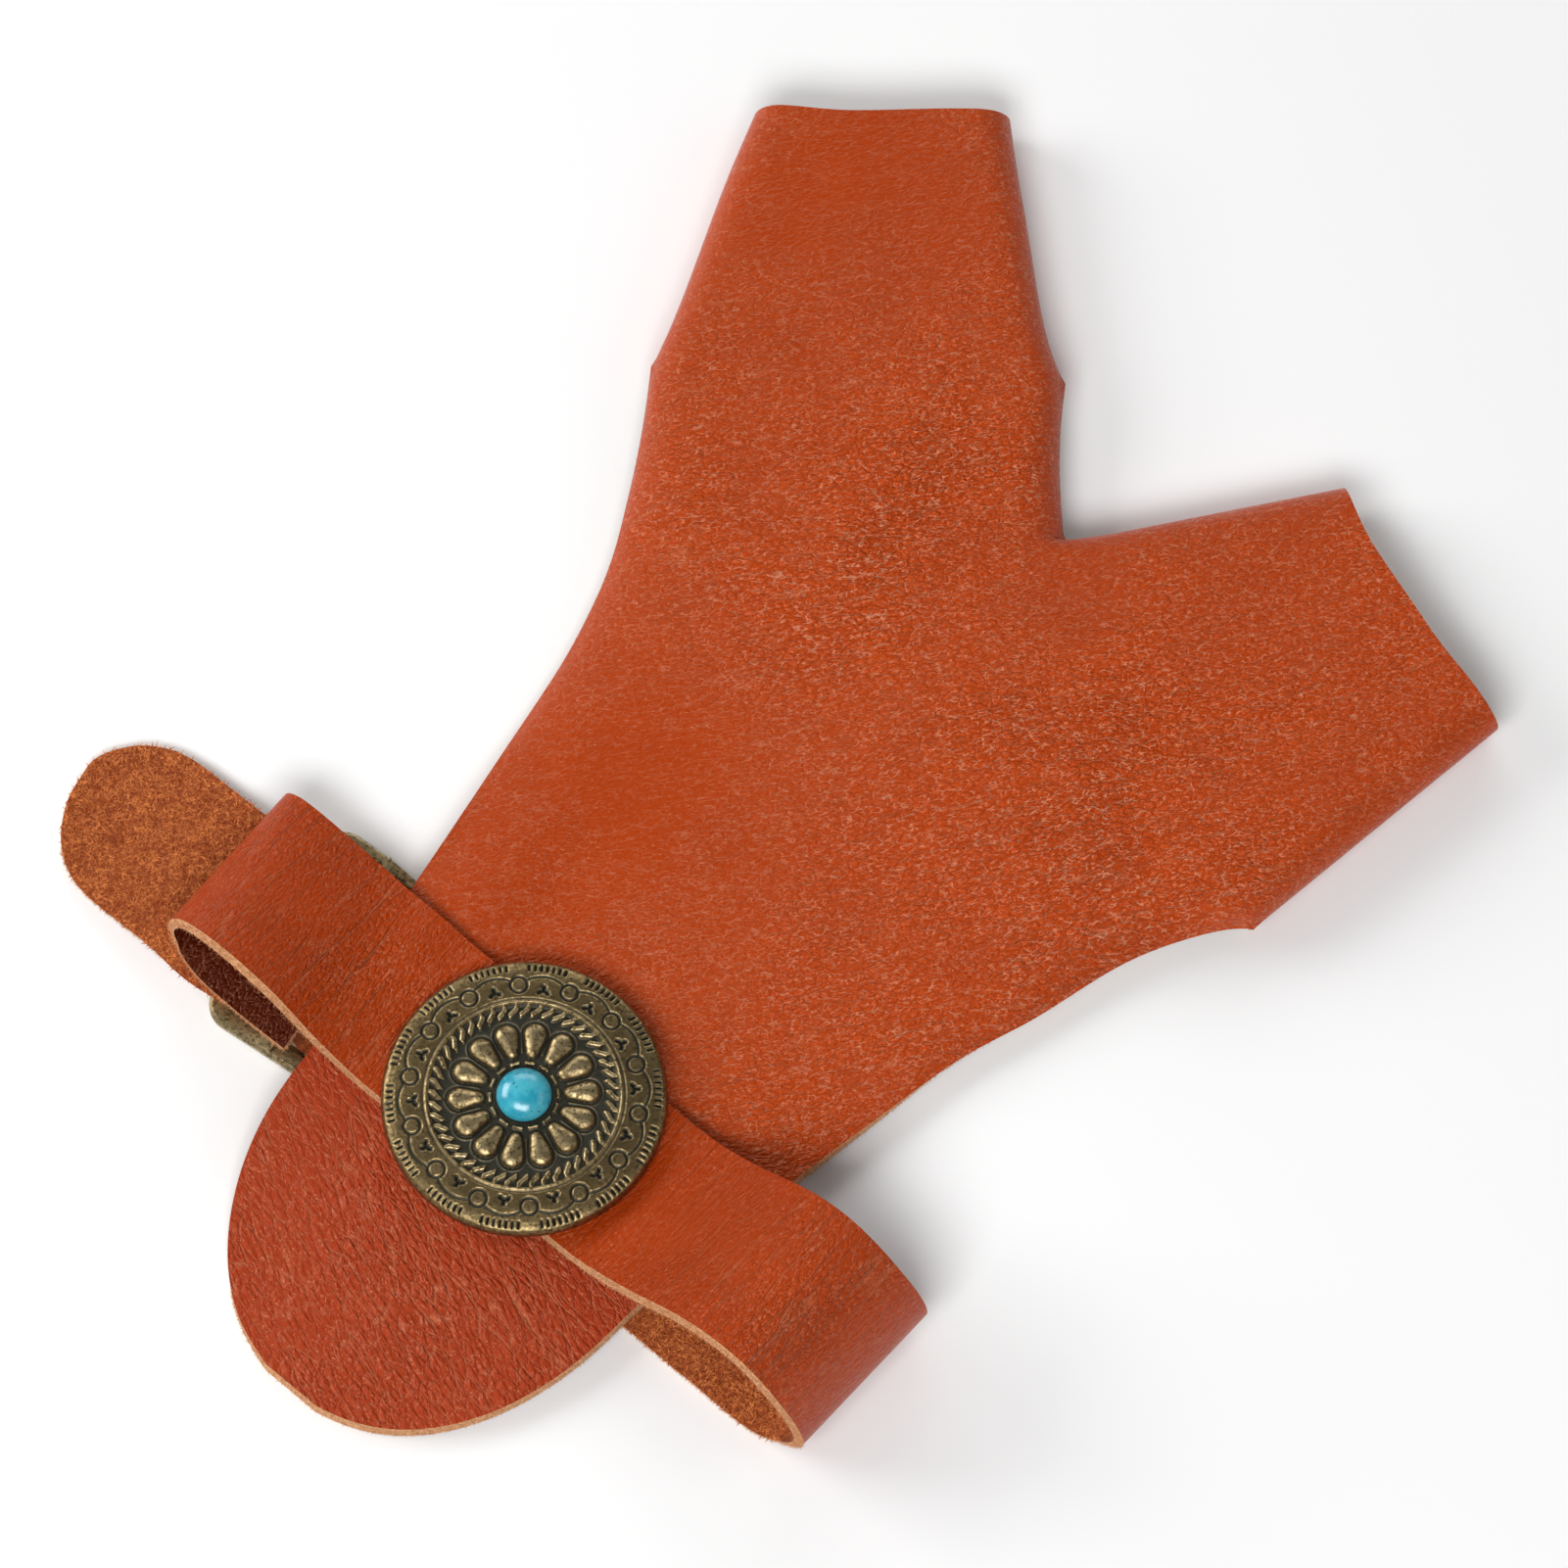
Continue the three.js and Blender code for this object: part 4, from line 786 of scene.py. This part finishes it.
px, py = sector_place(angle, radius, PETAL_TURN)
petal = to_petal(px, py)
depth = np.clip(-petal / PETAL_ROUNDING, 0, 1)
petal_rise = np.sqrt(1 - (1 - depth) ** 2)
petal_rim = soft_line(petal - RIM_GAP, RIM_WIDTH) * (radius < RIM_END) * (radius > PETAL_INNER)
to_dash = to_stroke(px, py, (-DASH_REACH, DASH_PLACE), (DASH_REACH, DASH_PLACE))
stone_dash = np.sqrt(soft_line(to_dash, DASH_WIDTH))
rope_x, rope_y = sector_place(angle, radius, 0.0, ROPE_STRANDS)
to_strand = to_stroke(rope_x, rope_y, (STRAND_LEAN, STRAND_START), (-STRAND_LEAN, STRAND_END))
rope = np.sqrt(soft_line(to_strand, STRAND_WIDTH))
ring = soft_line(radius - DISH_RADIUS, RING_WIDTH)

cx, cy = sector_place(angle, radius, PETAL_TURN + SECTOR / 2)
from_circle = np.hypot(cx, cy - CIRCLE_PLACE)
circle = soft_line(from_circle - CIRCLE_RADIUS, CIRCLE_WIDTH)
circle_dot = np.clip(1 - (from_circle / DOT_RADIUS) ** 2, 0, 1)
swing = np.arctan2(px, py)
scallop_radius = SCALLOP_TOP - SCALLOP_DROP * (swing / SCALLOP_SWING) ** 2
scallop = soft_line(radius - scallop_radius, SCALLOP_WIDTH) * (from_circle > CIRCLE_RADIUS)
clover = np.maximum.reduce([
    soft_line(to_stroke(px, py, start, end), width) for start, end, width in CLOVER_LEAVES])
nick_swing = np.clip(np.round(swing / NICK_GAP), -NICKS_A_SIDE, NICKS_A_SIDE) * NICK_GAP
nick_side = radius * np.sin(swing - nick_swing)
nick = soft_line(to_stroke(nick_side, radius, (0, NICK_START), (0, NICK_END)), NICK_WIDTH)

raised = np.maximum.reduce([
    petal_rise, RIM_RISE * petal_rim, DASH_RISE * stone_dash, STRAND_RISE * rope,
    RING_RISE * ring])
on_border = radius > DISH_RADIUS + BORDER_GAP
pressed = np.maximum.reduce([
    CIRCLE_DEPTH * circle, SCALLOP_DEPTH * scallop, clover, nick]) * on_border
groove = soft_line(radius - DISH_RADIUS - GROOVE_GAP, GROOVE_WIDTH)
pressed = np.maximum(pressed, GROOVE_DEPTH * groove)


def push(piece, name, weights, strength):
    """A vertex group and a Displace modifier that moves it straight up or down."""
    group = piece.vertex_groups.new(name=name)
    for index in np.flatnonzero(weights > 0.01):
        group.add([int(index)], float(weights[index]), "REPLACE")
    finish_modifier(piece, "DISPLACE", vertex_group=name, direction="Z", mid_level=0,
                    strength=strength * MM)
    piece.vertex_groups.remove(piece.vertex_groups[name])


push(concho, "raised", raised * on_face, PETAL_HEIGHT)
push(concho, "pressed", pressed * on_face, -STAMP_DEPTH)
print("points raised and pressed:", int((raised > 0.01).sum()), int((pressed > 0.01).sum()))

# %% Patina and rub
FLOOR_PATINA = 0.72
SKIRT_GAP, SKIRT_REACH = 0.14, 0.24
RING_RUB, DOT_RUB, MOST_RUB = 0.7, 0.35, 0.8

floor_patina = np.where(radius < DISH_RADIUS - BORDER_GAP, FLOOR_PATINA, 0.0)
petal_skirt = np.clip(1 - np.abs(petal - SKIRT_GAP) / SKIRT_REACH, 0, 1)
kept = np.maximum(floor_patina * (1 - np.clip(raised * 3, 0, 1)), pressed)
kept = np.maximum(kept, petal_skirt * (radius < DISH_RADIUS - 0.5))
keep_number(concho, "patina", kept * on_face)
worn = np.clip(np.maximum.reduce([
    petal_rise ** 3, rope ** 2, stone_dash ** 2, ring * RING_RUB]), 0, 1)
worn = np.maximum(worn, DOT_RUB * circle_dot * on_border)
keep_number(concho, "rubbed", worn * on_face * MOST_RUB)
concho.data.materials.append(brass)
select_only(concho)
bpy.ops.object.shade_smooth_by_angle(angle=radians(60))
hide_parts("concho_plate")
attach(concho, "root")

# %% [markdown]
# ## The stone
# The stone is a cabochon: turquoise ground to a low dome and polished, glued on the concho's
# middle. A sphere is flattened, and its lower half is cut away on the plane it sits on.

# %% Stone
stone_low, stone_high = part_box("turquoise_stone")
stone_middle = (stone_low + stone_high) / 2
stone_radius = (stone_high.x - stone_low.x) / 2
bpy.ops.object.select_all(action="DESELECT")
bpy.ops.mesh.primitive_uv_sphere_add(segments=96, ring_count=64, radius=stone_radius,
                                     location=(stone_middle.x, stone_middle.y, stone_low.z))
stone = bpy.context.object
stone.name = "cabochon"
stone.scale.z = (stone_high.z - stone_low.z) / stone_radius
settle(stone)
edit(stone)
bpy.ops.mesh.select_all(action="SELECT")
bpy.ops.mesh.bisect(plane_co=(0, 0, stone_low.z + 0.05 * MM), plane_no=(0, 0, 1), use_fill=True,
                    clear_inner=True)
leave(stone)
stone.data.materials.append(turquoise)
select_only(stone)
bpy.ops.object.shade_smooth_by_angle(angle=radians(50))
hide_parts("turquoise_stone")
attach(stone, "root")

# %% [markdown]
# ## The buckle and the post
# The buckle is a cast frame with a middle bar, and it lies flat under the strap. Its node has the
# true bars with square edges, so a merged copy gets its edges rounded by a bevel, as tumbling
# rounds a casting. The photograph shows nothing of the far bar, so that bar is trimmed to its
# inner half. The post is hidden, and its node is already right, so it only gets its finish.

# %% Buckle and post
FAR_BAR_OUTSIDE, FAR_BAR_TRIM = 14.9, 1.4  # mm across the strap
BUCKLE_ROUNDING = 0.45 * MM

buckle = bpy.data.objects.new("buckle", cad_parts["buckle_frame"].data.copy())
bpy.context.scene.collection.objects.link(buckle)
buckle.data.materials.clear()
buckle.data.materials.append(brass)
select_only(buckle)
bpy.ops.mesh.customdata_custom_splitnormals_clear()
edit(buckle)
bpy.ops.mesh.select_all(action="SELECT")
bpy.ops.mesh.remove_doubles(threshold=0.01 * MM)
bpy.ops.mesh.dissolve_limited(angle_limit=radians(2))
bars = bmesh.from_edit_mesh(buckle.data)
for point in bars.verts:
    if strap_place(point.co)[1] > FAR_BAR_OUTSIDE:
        point.co -= FAR_BAR_TRIM * MM * ACROSS
bmesh.update_edit_mesh(buckle.data)
leave(buckle)
finish_modifier(buckle, "BEVEL", width=BUCKLE_ROUNDING, segments=3, limit_method="ANGLE",
                angle_limit=radians(40))
select_only(buckle)
bpy.ops.object.shade_smooth_by_angle(angle=radians(40))
keep_number(buckle, "patina", np.full(len(buckle.data.vertices), 0.05))
keep_number(buckle, "rubbed", np.full(len(buckle.data.vertices), 0.6))
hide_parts("buckle_frame")
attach(buckle, "root")
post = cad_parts["concho_post"]
post.data.materials.clear()
post.data.materials.append(brass)

# %% [markdown]
# ## The studio
# The glove lies on a white table under a light tent. The sides of the tent are bright and its top
# is dim, so flat leather shows its colour with little haze, and every fold that tilts towards a
# side catches a soft line of light.

# %% Floor, world and lights
bpy.ops.object.select_all(action="DESELECT")
bpy.ops.mesh.primitive_plane_add(size=6.0, location=(0, 0, 0))
table = bpy.context.object
table.name = "table_top"
paper = new_material("white_paper", {
    "Roughness": 0.9, "Specular IOR Level": 0.1, "Base Color": "#F7F7F7"})[0]
table.data.materials.append(paper)

world = bpy.data.worlds.new("tent")
bpy.context.scene.world = world
world.use_nodes = True
background = world.node_tree.nodes["Background"]
background.inputs["Color"].default_value = linear("#FFFFFF")
background.inputs["Strength"].default_value = 0.13


def softbox(name, azimuth, elevation, distance, width, height, power):
    light = bpy.data.lights.new(name, "AREA")
    light.shape = "RECTANGLE"
    light.size, light.size_y, light.energy = width, height, power
    lamp = bpy.data.objects.new(name, light)
    bpy.context.scene.collection.objects.link(lamp)
    a, e = radians(azimuth), radians(elevation)
    lamp.location = distance * Vector((sin(a) * cos(e), -cos(a) * cos(e), sin(e)))
    lamp.rotation_euler = lamp.location.to_track_quat("Z", "Y").to_euler()
    print(name, power, "W")


# Azimuth 0 is towards the reader, 90 to the right, 180 behind, 270 to the left
softbox("front_softbox", 345, 50, 1.1, 0.8, 0.4, 9.2)
softbox("left_softbox", 252, 26, 0.9, 0.6, 0.4, 4.8)
softbox("right_softbox", 80, 35, 0.9, 0.6, 0.4, 0.7)
softbox("back_softbox", 180, 28, 0.9, 0.9, 0.4, 2.6)

# %% [markdown]
# ## The camera
# The photographer stood close to straight above, 20 degrees off the vertical, with a long lens
# about a metre away.

# %% Camera
CAMERA_ELEVATION = radians(70.3)
CAMERA_DISTANCE = 1000 * MM
LENS = 170.9
AIM = Vector((0.54, 0.11, 0)) * MM
FRAME_DROP = 1.58 * MM

camera = bpy.data.objects.new("camera", bpy.data.cameras.new("camera"))
bpy.context.scene.collection.objects.link(camera)
camera.data.lens = LENS
camera.data.sensor_width = 36
away = Vector((0, -cos(CAMERA_ELEVATION), sin(CAMERA_ELEVATION)))
picture_up = Vector((0, sin(CAMERA_ELEVATION), cos(CAMERA_ELEVATION)))
camera.location = AIM + CAMERA_DISTANCE * away - FRAME_DROP * picture_up
camera.rotation_euler = away.to_track_quat("Z", "Y").to_euler()
bpy.context.scene.camera = camera
bpy.context.scene.view_settings.view_transform = "Standard"
print("camera in mm:", [round(c / MM, 1) for c in camera.location])
